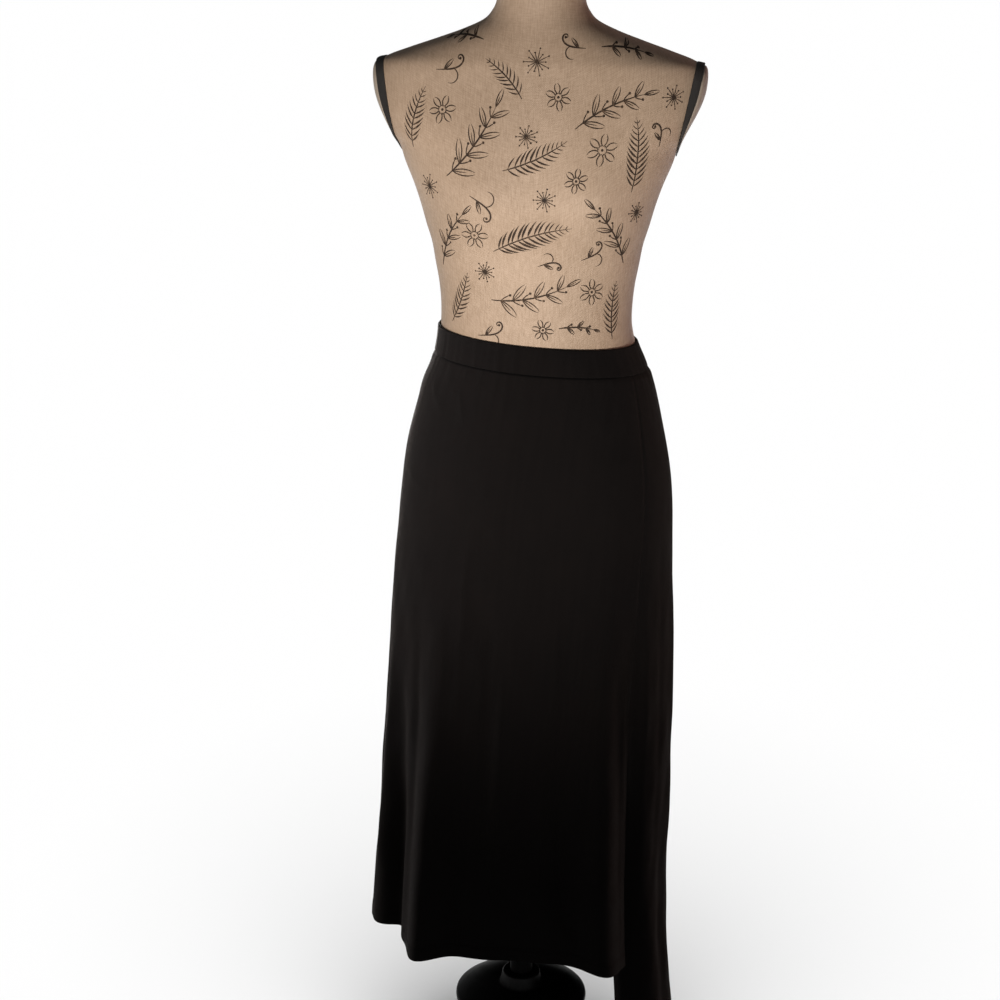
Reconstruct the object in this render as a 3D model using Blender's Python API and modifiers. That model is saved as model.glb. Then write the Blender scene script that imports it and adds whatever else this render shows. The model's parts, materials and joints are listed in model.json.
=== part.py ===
"""A long black jersey skirt on a limbless, linen-covered dress form with a turned stand.

Metres, +Z up. The origin is on the floor under the pole, and the form faces -Y, so +X is its own left side.
The form sits a little to that side of its pole.
A turn is an angle round the body: -90 is the centre front, 0 the form's left side, 90 the centre back
and 180 its right side. Each section of the body or the skirt is an oval read from a table of sizes.
"""

import math
from collections import namedtuple

import bmesh
import bpy
from mathutils import Vector

# Cloth
CLOTH_THICK = 0.0015
BAND_THICK = 0.0030
SEAM_GAP = 0.0003
BAND_CLEARANCE = 0.0008

# Waistband, which sits a little higher on the form's right side
BAND_TOP = 1.1025
BAND_TILT = 0.0085
BAND_HEIGHT = 0.035

# Seams and the slit, as turns in degrees
SIDE_SEAM_TURN = 165.0
SLIT_TOP = 0.60
FRONT_LIFT = 0.010
BACK_TUCK = 0.014
SLIT_EASE = 14.0
SLIT_CURVE = 1.2
SLIT_OVERLAP = 4.0

# How far the form and the skirt sit to the pole's +X side
FORM_SHIFT = 0.007

# Armholes: the plane that ends each shoulder, the black tape on it and the domed plate
ARM_REACH = 0.1885
ARM_HEIGHT = 1.42
ARM_LEAN = math.radians(11)
ARM_CUT_BOTTOM = 1.20
TAPE_WIDE = 0.010
TAPE_EDGE = 0.002
TAPE_SIZE = 1.012
TAPE_EDGE_SIZE = 0.985
PLATE_SIZE = 0.955
PLATE_DOME = 0.009
PLATE_RINGS = 4
UNDERARM = 1.338
UNDERARM_SHARE = 0.15

# Soft rise of the form's chest
CHEST_REACH = 0.010
CHEST_APART = 0.072
CHEST_WIDE = 0.046
CHEST_HEIGHT = 1.285
CHEST_TALL = 0.050

# Stand
TORSO_BOTTOM = 0.775
BASE_HEIGHT = 0.162
POLE_RADIUS = 0.016
FLANGE_RADIUS = 0.050
FLANGE_THICK = 0.008
FLANGE_NECK = 0.030
TIER_RADIUS = 0.093
TIER_HEIGHT = 0.138
FOOT_RADIUS = 0.160
FOOT_HEIGHT = 0.026

# Mesh resolution
TORSO_COLUMNS = 44
TORSO_RING_SPACING = 0.032
WAIST_RING_SPACING = 0.014
BAND_COLUMNS = 64
BAND_ROWS = 3
FRONT_COLUMNS = 34
BACK_COLUMNS = 42
ROWS_ABOVE_SLIT = 12
ROWS_BELOW_SLIT = 7
TURNED_STEPS = 36
SEAM_ROUNDS = 5

Section = namedtuple("Section", "height right left front back square")
Fold = namedtuple("Fold", "turn spread reach starts full")
Mark = namedtuple("Mark", "at value")
Arc = namedtuple("Arc", "radius height bulge steps")


def torso_row(height, half_width, sway, front, back, square):
    """A section that is the same on both sides, moved sideways by the form's slight sway."""
    return Section(height, half_width + sway, half_width - sway, front, back, square)


# Height, half width, sway, reach to the front and to the back, and squareness (2 is an ellipse)
TORSO = [
    torso_row(1.578, 0.0490, 0.0, 0.044, 0.048, 2.0),
    torso_row(1.575, 0.0522, 0.0, 0.047, 0.051, 2.0),
    torso_row(1.569, 0.0530, 0.0, 0.048, 0.052, 2.0),
    torso_row(1.550, 0.0525, 0.0, 0.048, 0.054, 2.0),
    torso_row(1.520, 0.0550, 0.0, 0.050, 0.058, 2.0),
    torso_row(1.508, 0.0600, 0.0, 0.052, 0.064, 2.0),
    torso_row(1.496, 0.0710, 0.0, 0.055, 0.070, 2.05),
    torso_row(1.484, 0.0960, 0.0, 0.059, 0.075, 2.1),
    torso_row(1.472, 0.1290, 0.0, 0.064, 0.080, 2.15),
    torso_row(1.460, 0.1640, 0.0, 0.069, 0.085, 2.2),
    torso_row(1.448, 0.1950, 0.0, 0.074, 0.089, 2.3),
    torso_row(1.436, 0.2040, 0.0, 0.078, 0.092, 2.4),
    torso_row(1.420, 0.2060, 0.0, 0.084, 0.096, 2.45),
    torso_row(1.400, 0.2040, 0.0, 0.092, 0.100, 2.5),
    torso_row(1.380, 0.1980, 0.0, 0.100, 0.103, 2.5),
    torso_row(1.360, 0.1870, 0.0, 0.107, 0.105, 2.5),
    torso_row(1.345, 0.1760, 0.0, 0.111, 0.106, 2.45),
    torso_row(1.322, 0.1680, 0.0, 0.115, 0.106, 2.4),
    torso_row(1.296, 0.1575, 0.0, 0.117, 0.104, 2.35),
    torso_row(1.270, 0.1490, 0.0, 0.114, 0.101, 2.3),
    torso_row(1.244, 0.1420, 0.0, 0.108, 0.097, 2.25),
    torso_row(1.220, 0.1350, 0.0, 0.101, 0.092, 2.2),
    torso_row(1.194, 0.1305, 0.0, 0.096, 0.088, 2.15),
    torso_row(1.168, 0.1260, 0.0, 0.092, 0.085, 2.1),
    torso_row(1.142, 0.1235, 0.0, 0.0895, 0.0835, 2.1),
    torso_row(1.115, 0.1235, 0.0, 0.0885, 0.0845, 2.1),
    torso_row(1.090, 0.1272, 0.002, 0.090, 0.088, 2.1),
    torso_row(1.063, 0.1362, 0.0045, 0.093, 0.094, 2.1),
    torso_row(1.036, 0.1460, 0.004, 0.0965, 0.1015, 2.1),
    torso_row(1.010, 0.1525, 0.003, 0.100, 0.108, 2.1),
    torso_row(0.983, 0.1590, 0.003, 0.103, 0.1135, 2.1),
    torso_row(0.955, 0.1655, 0.003, 0.106, 0.118, 2.1),
    torso_row(0.927, 0.1700, 0.003, 0.108, 0.1205, 2.1),
    torso_row(0.900, 0.1725, 0.003, 0.109, 0.1215, 2.1),
    torso_row(0.870, 0.1730, 0.003, 0.1095, 0.1195, 2.1),
    torso_row(0.840, 0.1710, 0.003, 0.108, 0.115, 2.1),
    torso_row(0.812, 0.1640, 0.003, 0.103, 0.107, 2.1),
    torso_row(0.790, 0.1500, 0.003, 0.093, 0.095, 2.1),
    torso_row(0.779, 0.1330, 0.003, 0.080, 0.081, 2.1),
    torso_row(TORSO_BOTTOM, 0.1160, 0.003, 0.066, 0.067, 2.1),
]

# The skirt's outer face: height, reach to the form's left (+X) and right (-X), to the front and to the back
SKIRT = [
    Section(1.085, 0.1355, 0.1305, 0.0950, 0.0935, 2.1),
    Section(1.063, 0.1465, 0.1365, 0.0965, 0.0995, 2.1),
    Section(1.036, 0.1555, 0.1475, 0.1000, 0.1065, 2.1),
    Section(1.010, 0.1620, 0.1540, 0.1035, 0.1125, 2.1),
    Section(0.983, 0.1680, 0.1610, 0.1065, 0.1180, 2.1),
    Section(0.955, 0.1740, 0.1675, 0.1095, 0.1225, 2.1),
    Section(0.927, 0.1790, 0.1720, 0.1115, 0.1250, 2.1),
    Section(0.900, 0.1825, 0.1750, 0.1125, 0.1260, 2.1),
    Section(0.870, 0.1850, 0.1780, 0.1130, 0.1255, 2.1),
    Section(0.830, 0.1865, 0.1815, 0.1140, 0.1240, 2.08),
    Section(0.785, 0.1880, 0.1860, 0.1150, 0.1225, 2.06),
    Section(0.730, 0.1905, 0.1900, 0.1160, 0.1215, 2.04),
    Section(0.660, 0.1925, 0.1950, 0.1165, 0.1210, 2.02),
    Section(0.580, 0.1945, 0.2000, 0.1170, 0.1205, 2.0),
    Section(0.500, 0.1945, 0.2050, 0.1175, 0.1205, 2.0),
    Section(0.420, 0.1950, 0.2100, 0.1175, 0.1210, 2.0),
    Section(0.340, 0.1950, 0.2160, 0.1180, 0.1220, 2.0),
    Section(0.243, 0.1990, 0.2220, 0.1180, 0.1230, 2.0),
    Section(0.095, 0.2130, 0.2240, 0.1190, 0.1250, 2.0),
]

# Soft folds of the skirt: turn, width, reach out (or in), and the heights where each begins and is full
FOLDS = [
    Fold(-151, 8, -0.028, 0.80, 0.25),
    Fold(-126, 7.5, 0.037, 0.82, 0.25),
    Fold(-92, 9, -0.004, 0.62, 0.25),
    Fold(-58, 9, 0.028, 0.90, 0.24),
    Fold(-41, 8, -0.012, 0.92, 0.30),
    Fold(-14, 6, -0.005, 0.56, 0.30),
    Fold(46, 11, 0.020, 0.74, 0.16),
    Fold(72, 12, -0.013, 0.72, 0.20),
    Fold(99, 11, 0.024, 0.80, 0.22),
    Fold(126, 10, -0.012, 0.68, 0.24),
    Fold(146, 9, 0.017, 0.64, 0.24),
]

# Turn of the seam on the form's left, by height
LEFT_SEAM = [Mark(1.07, -30), Mark(0.86, -36), Mark(0.60, -43), Mark(0.40, -44), Mark(0.08, -44)]

# Height of the hem, by turn
FRONT_HEM = [
    Mark(-196, 0.242),
    Mark(-120, 0.241),
    Mark(-85, 0.242),
    Mark(-66, 0.240),
    Mark(-52, 0.231),
    Mark(-40, 0.227),
]
BACK_HEM = [
    Mark(-50, 0.108),
    Mark(-20, 0.100),
    Mark(15, 0.100),
    Mark(60, 0.122),
    Mark(100, 0.162),
    Mark(135, 0.210),
    Mark(166, 0.242),
]

# The turned base, down its outer side: each curve's end, how far it bows out, and its steps
BASE = [
    Arc(0.024, BASE_HEIGHT, 0, 1),
    Arc(0.027, BASE_HEIGHT - 0.003, 0, 1),
    Arc(0.031, TIER_HEIGHT + 0.004, 0, 1),
    Arc(TIER_RADIUS, TIER_HEIGHT - 0.010, 0.006, 4),
    Arc(TIER_RADIUS - 0.006, TIER_HEIGHT - 0.022, 0.003, 2),
    Arc(0.066, 0.088, -0.004, 3),
    Arc(FOOT_RADIUS - 0.006, FOOT_HEIGHT, -0.016, 6),
    Arc(FOOT_RADIUS, FOOT_HEIGHT - 0.006, 0.002, 2),
    Arc(FOOT_RADIUS, 0.003, 0, 1),
    Arc(FOOT_RADIUS - 0.003, 0, 0, 1),
    Arc(0, 0, 0, 1),
]

BLACK_JERSEY = ("black_jersey", (0.012, 0.011, 0.012), 0.88)
LINEN = ("linen", (0.47, 0.35, 0.24), 0.90)
BLACK_TAPE = ("black_tape", (0.016, 0.014, 0.013), 0.80)
BLACK_PAINT = ("black_paint", (0.010, 0.010, 0.010), 0.35)


def smooth_step(share):
    share = min(1.0, max(0.0, share))
    return share * share * (3 - 2 * share)


def bell(distance, spread):
    return math.exp(-((distance / spread) ** 2))


def on_curve(places, values, place):
    """The value at a place, on a smooth curve through points whose places rise."""
    last = len(places) - 1
    place = min(max(place, places[0]), places[last])
    i = max(k for k in range(last) if places[k] <= place)

    def slope(k):
        before, after = max(k - 1, 0), min(k + 1, last)
        return (values[after] - values[before]) / (places[after] - places[before])

    step = places[i + 1] - places[i]
    s = (place - places[i]) / step
    return (
        values[i] * (1 + 2 * s) * (1 - s) ** 2
        + slope(i) * step * s * (1 - s) ** 2
        + values[i + 1] * s * s * (3 - 2 * s)
        + slope(i + 1) * step * s * s * (s - 1)
    )


def section_at(table, height):
    """The table's section at a height, each size on its own smooth curve."""
    rows = sorted(table)
    heights = [row.height for row in rows]
    sizes = zip(*rows)
    return Section(*(on_curve(heights, size, height) for size in sizes))


def mark_at(marks, place):
    rows = sorted(marks)
    return on_curve([row.at for row in rows], [row.value for row in rows], place)


def oval(section, turn):
    """The point of a section at a turn in degrees, as x and y."""
    c, s = math.cos(math.radians(turn)), math.sin(math.radians(turn))
    power = 2 / section.square
    x = math.copysign(abs(c) ** power, c) * (section.right if c > 0 else section.left)
    y = math.copysign(abs(s) ** power, s) * (section.back if s > 0 else section.front)
    return x, y


def outward(section, turn):
    """The level direction that points out of a section at a turn, and how far a degree of turn goes there."""
    ahead = Vector(oval(section, turn + 0.5))
    behind = Vector(oval(section, turn - 0.5))
    along = ahead - behind
    return Vector((along.y, -along.x)).normalized(), along.length


def torso_point(turn, height, out=0.0):
    """A point of the form's surface, moved out by a distance."""
    section = section_at(TORSO, height)
    x, y = oval(section, turn)
    away, _ = outward(section, turn)
    rise = CHEST_REACH * bell(abs(x) - CHEST_APART, CHEST_WIDE) * bell(height - CHEST_HEIGHT, CHEST_TALL)
    y -= rise * smooth_step(-y / section.front)
    return Vector((FORM_SHIFT + x + away.x * out, y + away.y * out, height))


def fold_reach(turn, height):
    """How far the folds carry the cloth out at a place."""
    reach = 0.0
    for fold in FOLDS:
        off = (turn - fold.turn + 180) % 360 - 180
        grown = smooth_step((fold.starts - height) / (fold.starts - fold.full))
        reach += fold.reach * bell(off, fold.spread) * grown
    return reach


def slit_share(height):
    """0 at the top of the slit and above, and 1 at the front's hem and below."""
    return min(1.0, max(0.0, (SLIT_TOP - height) / (SLIT_TOP - FRONT_HEM[0].value)))


def skirt_point(turn, height, slit_side):
    """A point of the skirt's outer face. slit_side is the reach that an edge of the slit has at the hem."""
    section = section_at(SKIRT, height)
    x, y = oval(section, turn)
    away, _ = outward(section, turn)
    out = fold_reach(turn, height)
    off = turn - mark_at(LEFT_SEAM, height)
    out += slit_side * bell(off, SLIT_EASE) * slit_share(height) ** SLIT_CURVE
    return Vector((FORM_SHIFT + x + away.x * out, y + away.y * out, height))


def band_top(turn):
    return BAND_TOP - BAND_TILT * math.cos(math.radians(turn))


def seam_edge(turn, height, side):
    """The seam's turn moved half the seam gap to one side."""
    _, degree = outward(section_at(SKIRT, height), turn)
    return turn + side * SEAM_GAP / 2 / degree


def front_edge(height):
    return seam_edge(mark_at(LEFT_SEAM, height), height, -1)


def back_edge(height):
    """The back's edge, which slips behind the front's below the slit's top."""
    tucked = SLIT_OVERLAP * smooth_step((slit_share(height) - 0.25) / 0.75)
    return seam_edge(mark_at(LEFT_SEAM, height), height, 1) - tucked


def front_side_edge(height):
    return seam_edge(SIDE_SEAM_TURN - 360, height, 1)


def back_side_edge(height):
    return seam_edge(SIDE_SEAM_TURN, height, -1)


def panel_height(turn, row, hem):
    """Height of a row of the panel's wall: level with the other panel's rows down to the slit's top."""
    top = band_top(turn) - BAND_HEIGHT - SEAM_GAP
    if row <= ROWS_ABOVE_SLIT:
        return top + (SLIT_TOP - top) * row / ROWS_ABOVE_SLIT
    share = (row - ROWS_ABOVE_SLIT) / ROWS_BELOW_SLIT
    return SLIT_TOP + (mark_at(hem, turn) - SLIT_TOP) * share


def clear_scene():
    for obj in list(bpy.data.objects):
        bpy.data.objects.remove(obj, do_unlink=True)


def material(finish):
    """The material of a finish: its name, colour and roughness."""
    name, colour, roughness = finish
    made = bpy.data.materials.get(name)
    if made is None:
        made = bpy.data.materials.new(name)
        made.use_nodes = True
        shader = made.node_tree.nodes["Principled BSDF"]
        shader.inputs["Base Color"].default_value = (*colour, 1)
        shader.inputs["Roughness"].default_value = roughness
        shader.inputs["Metallic"].default_value = 0
    return made


def new_object(name, bm, finish, parts):
    """An object from a bmesh, smooth but for its sharp edges."""
    mesh = bpy.data.meshes.new(name)
    bm.to_mesh(mesh)
    bm.free()
    mesh.shade_smooth()
    mesh.set_sharp_from_angle(angle=math.radians(40))
    mesh.materials.append(material(finish))
    obj = bpy.data.objects.new(name, mesh)
    parts.objects.link(obj)
    return obj


def loft(rings):
    """A closed solid through level rings with as many points each, its two ends capped."""
    bm = bmesh.new()
    rows = [[bm.verts.new(point) for point in ring] for ring in rings]
    count = len(rows[0])
    for upper, lower in zip(rows, rows[1:]):
        for k in range(count):
            nxt = (k + 1) % count
            bm.faces.new((upper[k], upper[nxt], lower[nxt], lower[k]))
    bm.faces.new(rows[0])
    bm.faces.new(rows[-1])
    bmesh.ops.recalc_face_normals(bm, faces=bm.faces)
    return bm


def cloth(name, rows, closed, thick, parts):
    """A cloth wall: rows of points down its outer face, thickened inwards. A closed one is a ring."""
    bm = bmesh.new()
    grid = [[bm.verts.new(point) for point in row] for row in rows]
    count = len(grid[0])
    for upper, lower in zip(grid, grid[1:]):
        for k in range(count if closed else count - 1):
            nxt = (k + 1) % count
            bm.faces.new((upper[k], lower[k], lower[nxt], upper[nxt]))
    obj = new_object(name, bm, BLACK_JERSEY, parts)
    wall = obj.modifiers.new("Cloth", "SOLIDIFY")
    wall.thickness = thick
    wall.offset = -1
    wall.use_even_offset = True


def torso_heights():
    """Heights of the form's rings: the table's own and more between them, closest at the waistband."""
    heights = []
    rows = sorted((row.height for row in TORSO), reverse=True)
    for high, low in zip(rows, rows[1:]):
        near_band = high > BAND_TOP - 2 * BAND_HEIGHT and low < BAND_TOP + BAND_HEIGHT
        spacing = WAIST_RING_SPACING if near_band else TORSO_RING_SPACING
        steps = math.ceil((high - low) / spacing)
        heights += [high + (low - high) * k / steps for k in range(steps)]
    return heights + [rows[-1]]


def arm_plane(side):
    """A point and the outward direction of the plane that ends a shoulder. side is 1 at +X and -1 at -X."""
    direction = Vector((side * math.cos(ARM_LEAN), 0, -math.sin(ARM_LEAN)))
    return Vector((FORM_SHIFT + side * ARM_REACH, 0, ARM_HEIGHT)), direction


def cut_shoulder(bm, side):
    """Cuts the form off at an arm plane, closes it, and returns the cut's outline in order."""
    point, direction = arm_plane(side)
    shoulder = [face for face in bm.faces if min(vert.co.z for vert in face.verts) > ARM_CUT_BOTTOM]
    edges = {edge for face in shoulder for edge in face.edges}
    verts = {vert for edge in edges for vert in edge.verts}
    near = [*verts, *edges, *shoulder]
    cut = bmesh.ops.bisect_plane(bm, geom=near, plane_co=point, plane_no=direction, clear_outer=True)
    edges = [item for item in cut["geom_cut"] if isinstance(item, bmesh.types.BMEdge)]
    bmesh.ops.contextual_create(bm, geom=edges)
    bmesh.ops.recalc_face_normals(bm, faces=bm.faces)
    outline = [vert.co.copy() for vert in {vert for edge in edges for vert in edge.verts}]
    centre = sum(outline, Vector()) / len(outline)
    across = Vector((0, 1, 0))
    up = direction.cross(across)
    outline.sort(key=lambda co: math.atan2((co - centre).dot(up), (co - centre).dot(across)))
    return outline


def make_torso(parts):
    """The linen-covered form, and the outlines of its two shoulder ends."""
    turns = [360 * k / TORSO_COLUMNS for k in range(TORSO_COLUMNS)]
    bm = loft([[torso_point(turn, height) for turn in turns] for height in torso_heights()])
    outlines = {side: cut_shoulder(bm, side) for side in (1, -1)}
    new_object("form_torso", bm, LINEN, parts)
    return outlines


def stacked(outline, direction, gap, levels):
    """A solid of rings on an outline: each level is its distance out and its size against the outline.

    All but the gap shrinks towards the underarm, where the pieces thin out.
    """
    centre = sum(outline, Vector()) / len(outline)

    def moved(co, out, size):
        grown = smooth_step((co.z - UNDERARM) / (ARM_HEIGHT - UNDERARM))
        share = UNDERARM_SHARE + (1 - UNDERARM_SHARE) * grown
        return centre + (co - centre) * size + direction * (gap + out * share)

    return loft([[moved(co, out, size) for co in outline] for out, size in levels])


def make_arm_pieces(side, outline, parts):
    """The black tape round a shoulder's end, and the domed plate that closes it."""
    name = "left" if side > 0 else "right"
    _, direction = arm_plane(side)
    tape = [
        (0, TAPE_EDGE_SIZE),
        (TAPE_EDGE, TAPE_SIZE),
        (TAPE_WIDE - TAPE_EDGE, TAPE_SIZE),
        (TAPE_WIDE, TAPE_EDGE_SIZE),
    ]
    new_object(f"form_arm_tape_{name}", stacked(outline, direction, SEAM_GAP, tape), BLACK_TAPE, parts)
    plate = [(TAPE_WIDE, PLATE_SIZE)]
    for ring in range(PLATE_RINGS):
        angle = math.radians(90) * (ring + 0.8) / (PLATE_RINGS + 0.5)
        plate.append((TAPE_WIDE + PLATE_DOME * math.sin(angle), PLATE_SIZE * math.cos(angle) ** 0.6))
    new_object(f"form_arm_plate_{name}", stacked(outline, direction, 2 * SEAM_GAP, plate), LINEN, parts)


def turned(name, profile, height, finish, parts):
    """A turned piece: a profile of radius and height, run down its outer side, and set at a height."""
    mesh = bpy.data.meshes.new(name)
    edges = [(k, k + 1) for k in range(len(profile) - 1)]
    mesh.from_pydata([(radius, 0, z) for radius, z in profile], edges, [])
    mesh.materials.append(material(finish))
    obj = bpy.data.objects.new(name, mesh)
    obj.location = (0, 0, height)
    screw = obj.modifiers.new("Turn", "SCREW")
    screw.steps = screw.render_steps = TURNED_STEPS
    screw.use_merge_vertices = True
    screw.merge_threshold = 0.0001
    screw.use_smooth_shade = True
    parts.objects.link(obj)


def profile_of(top, arcs):
    """Points of radius and height down a turned piece: from its axis at the top, along each arc in turn."""
    points = [(0, top)]
    for arc in arcs:
        r0, z0 = points[-1]
        across, down = arc.radius - r0, arc.height - z0
        length = math.hypot(across, down)
        for k in range(1, arc.steps + 1):
            s = k / arc.steps
            rise = arc.bulge * 4 * s * (1 - s) / length
            points.append((r0 + across * s - down * rise, z0 + down * s + across * rise))
    return points


def make_stand(parts):
    """The turned base, and the pole with the flange that carries the form."""
    turned("stand_base", profile_of(BASE_HEIGHT, BASE), 0, BLACK_PAINT, parts)
    pole_foot = BASE_HEIGHT + SEAM_GAP
    length = TORSO_BOTTOM - SEAM_GAP - pole_foot
    pole = [
        Arc(FLANGE_RADIUS, length, 0, 1),
        Arc(FLANGE_RADIUS, length - FLANGE_THICK, 0, 1),
        Arc(POLE_RADIUS + 0.006, length - FLANGE_THICK - 0.002, 0, 1),
        Arc(POLE_RADIUS, length - FLANGE_THICK - FLANGE_NECK, -0.001, 2),
        Arc(POLE_RADIUS, 0, 0, 1),
        Arc(0, 0, 0, 1),
    ]
    turned("stand_pole", profile_of(length, pole), pole_foot, BLACK_PAINT, parts)


def make_waistband(parts):
    """The waistband: a double layer round the form's waist."""
    turns = [360 * k / BAND_COLUMNS for k in range(BAND_COLUMNS)]
    drops = [BAND_HEIGHT * row / BAND_ROWS for row in range(BAND_ROWS + 1)]
    out = BAND_CLEARANCE + BAND_THICK
    rows = [[torso_point(turn, band_top(turn) - drop, out) for turn in turns] for drop in drops]
    cloth("skirt_waistband", rows, True, BAND_THICK, parts)


def make_panel(name, low_edge, high_edge, columns, hem, slit_side, parts):
    """A panel of the skirt, from one edge to the other round the body, and from the waistband to its hem."""
    rows = []
    for row in range(ROWS_ABOVE_SLIT + ROWS_BELOW_SLIT + 1):
        points = []
        for column in range(columns + 1):
            height = SLIT_TOP
            for _ in range(SEAM_ROUNDS):
                low, high = low_edge(height), high_edge(height)
                turn = low + (high - low) * column / columns
                height = panel_height(turn, row, hem)
            points.append(skirt_point(turn, height, slit_side))
        rows.append(points)
    cloth(name, rows, False, CLOTH_THICK, parts)


def main():
    clear_scene()
    parts = bpy.data.collections.new("skirt_on_dress_form")
    bpy.context.scene.collection.children.link(parts)
    outlines = make_torso(parts)
    for side, outline in outlines.items():
        make_arm_pieces(side, outline, parts)
    make_stand(parts)
    make_waistband(parts)
    make_panel("skirt_front", front_side_edge, front_edge, FRONT_COLUMNS, FRONT_HEM, FRONT_LIFT, parts)
    make_panel("skirt_back", back_edge, back_side_edge, BACK_COLUMNS, BACK_HEM, -BACK_TUCK, parts)


main()
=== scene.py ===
"""The looks of a long black jersey skirt on a linen-covered dress form with a turned stand.

Metres, +Z up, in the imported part's own frame: the origin is on the floor under the pole and the form faces
-Y, so +X is its own left side. A turn is an angle round the body in degrees: -90 is the centre front, 0 the
form's left side, 90 the centre back and 180 its right side. Lengths in the long tables are in millimetres.
The tables of sections repeat the part's own sizes. On them this script adds what cloth has: creases,
gathers, seams, turned hems, stitching, weave and sheen.
"""

import json
import math
from collections import namedtuple

import bmesh
import bpy
import numpy as np
from mathutils import Euler, Matrix, Vector

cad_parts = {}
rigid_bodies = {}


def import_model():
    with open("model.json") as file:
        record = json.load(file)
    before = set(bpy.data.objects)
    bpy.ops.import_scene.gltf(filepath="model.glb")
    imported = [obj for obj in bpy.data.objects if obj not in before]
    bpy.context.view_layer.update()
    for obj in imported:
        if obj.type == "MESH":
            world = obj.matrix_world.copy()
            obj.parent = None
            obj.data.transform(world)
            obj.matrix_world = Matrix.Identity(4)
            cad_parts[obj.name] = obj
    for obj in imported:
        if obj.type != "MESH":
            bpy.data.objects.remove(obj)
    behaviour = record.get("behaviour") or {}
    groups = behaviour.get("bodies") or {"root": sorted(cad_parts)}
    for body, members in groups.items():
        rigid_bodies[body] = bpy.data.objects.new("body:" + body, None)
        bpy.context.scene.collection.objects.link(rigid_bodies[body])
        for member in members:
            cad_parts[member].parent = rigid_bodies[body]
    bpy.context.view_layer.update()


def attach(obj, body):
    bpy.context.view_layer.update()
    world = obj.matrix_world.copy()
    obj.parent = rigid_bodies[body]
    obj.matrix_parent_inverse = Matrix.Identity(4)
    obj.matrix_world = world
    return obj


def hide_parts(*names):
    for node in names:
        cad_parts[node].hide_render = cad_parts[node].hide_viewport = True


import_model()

# Cloth
CLOTH_THICK = 0.0015
BAND_THICK = 0.0030
PIECE_GAP = 0.0003
BAND_CLEARANCE = 0.0008

# Waistband, which sits a little higher on the form's right side
BAND_TOP = 1.1025
BAND_TILT = 0.0085
BAND_HEIGHT = 0.035

# Seams and the slit: turns in degrees, the rest in metres
SIDE_SEAM_TURN = 165.0
SLIT_TOP = 0.60
FRONT_LIFT = 0.010
BACK_TUCK = 0.014
SLIT_EASE = 14.0
SLIT_CURVE = 1.2
SLIT_OVERLAP = 4.0
SEAM_ROUNDS = 5

# How far the form and the skirt sit to the pole's +X side
FORM_SHIFT = 0.007

# Armholes: the plane that ends each shoulder, the black tape on it and the domed plate
ARM_REACH = 0.1885
ARM_HEIGHT = 1.42
ARM_LEAN = math.radians(11)
ARM_CUT_BOTTOM = 1.20
TAPE_WIDE = 0.010
TAPE_BULGE = 0.015
TAPE_EDGE_SIZE = 0.985
TAPE_STEPS = 8
PLATE_SIZE = 0.955
PLATE_DOME = 0.009
PLATE_RINGS = 14
ROUNDING = 0.6
UNDERARM = 1.338
UNDERARM_SHARE = 0.15
SHOULDER_DEEP = 0.07

# Soft rise of the form's chest
CHEST_REACH = 0.010
CHEST_APART = 0.072
CHEST_WIDE = 0.046
CHEST_HEIGHT = 1.285
CHEST_TALL = 0.050

# Rings of the form's cover: bands of height with their steps from the top down, then the rounded lower end
COVER_BANDS = ((1.578, 1.566, 10), (1.566, 1.508, 24), (1.508, 1.436, 64), (1.436, 1.10, 112),
               (1.10, 0.800, 52))
COVER_END_STEPS = 12
COVER_COLUMNS = 208

# Seams of the cover: turns of the upright ones, and the sunk line between two low puffs
COVER_SEAM_TURNS = (8.0, 172.0, 90.0)
COVER_SEAM_DEPTH = 0.0007
COVER_SEAM_WIDE = 0.0012
PUFF_RISE = 0.0004
PUFF_APART = 0.0042
PUFF_WIDE = 0.0026
NECK_SEAM = 1.5665
NECK_SEAM_DEPTH = 0.0006
NECK_SEAM_WIDE = 0.0010

# Stand
TORSO_BOTTOM = 0.775
BASE_HEIGHT = 0.162
POLE_RADIUS = 0.016
FLANGE_RADIUS = 0.050
FLANGE_THICK = 0.008
FLANGE_NECK = 0.030
FLANGE_EDGE = 0.0008
TIER_RADIUS = 0.093
TIER_HEIGHT = 0.138
FOOT_RADIUS = 0.160
FOOT_HEIGHT = 0.026
TURNED_STEPS = 128

# Turned hem and slit edges with their rows of stitches, and the dip of the cloth at a seam
HEM_DEPTH = 0.020
HEM_RISE = 0.0006
HEM_STEP = 0.0025
HEM_STITCHES = (0.0165, 0.0190)
FACING_DEPTH = 0.012
FACING_STITCHES = (0.0100,)
HEM_BY_SLIT = 0.24
STITCH_DIP = 0.0004
STITCH_DIP_WIDE = 0.0009
SEAM_DIP = 0.0011
SEAM_DIP_WIDE = 0.0022
SEAM_END = 0.004

# Stitches: small spindles, as rings that lie along the thread, each with its size
STITCH_PITCH = 0.0034
STITCH_LENGTH = 0.0025
STITCH_RADIUS = 0.00028
STITCH_RINGS = ((-0.5, 0.35), (-0.28, 1.0), (0.28, 1.0), (0.5, 0.35))
STITCH_SIDES = 6

# Lines of stitches: the points that each is worked out from, where the slit's begin and end short of its
# top and hem, and small steps that find directions on the cloth
HEM_LINE_POINTS = 400
SLIT_LINE_POINTS = 300
SLIT_LINE_START = 0.002
SLIT_LINE_END = 0.004
NEAR = 0.001
NEAR_TURN = 0.15

# How the panels' tops run into the waistband's nearly flat lower edge, and the strip of painted shade they
# get just under it
BAND_TUCK = 0.0025
BAND_TUCK_FADE = 0.0100
BAND_EDGE = 0.0005
SEAM_SHADE = 0.0042
SEAM_SHADE_FADE = 0.0020

# Grid of the waistband, and how its outer face swells
BAND_COLUMNS = 420
BAND_FACE_STEPS = 8
BAND_SWELL = 0.0004

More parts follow.
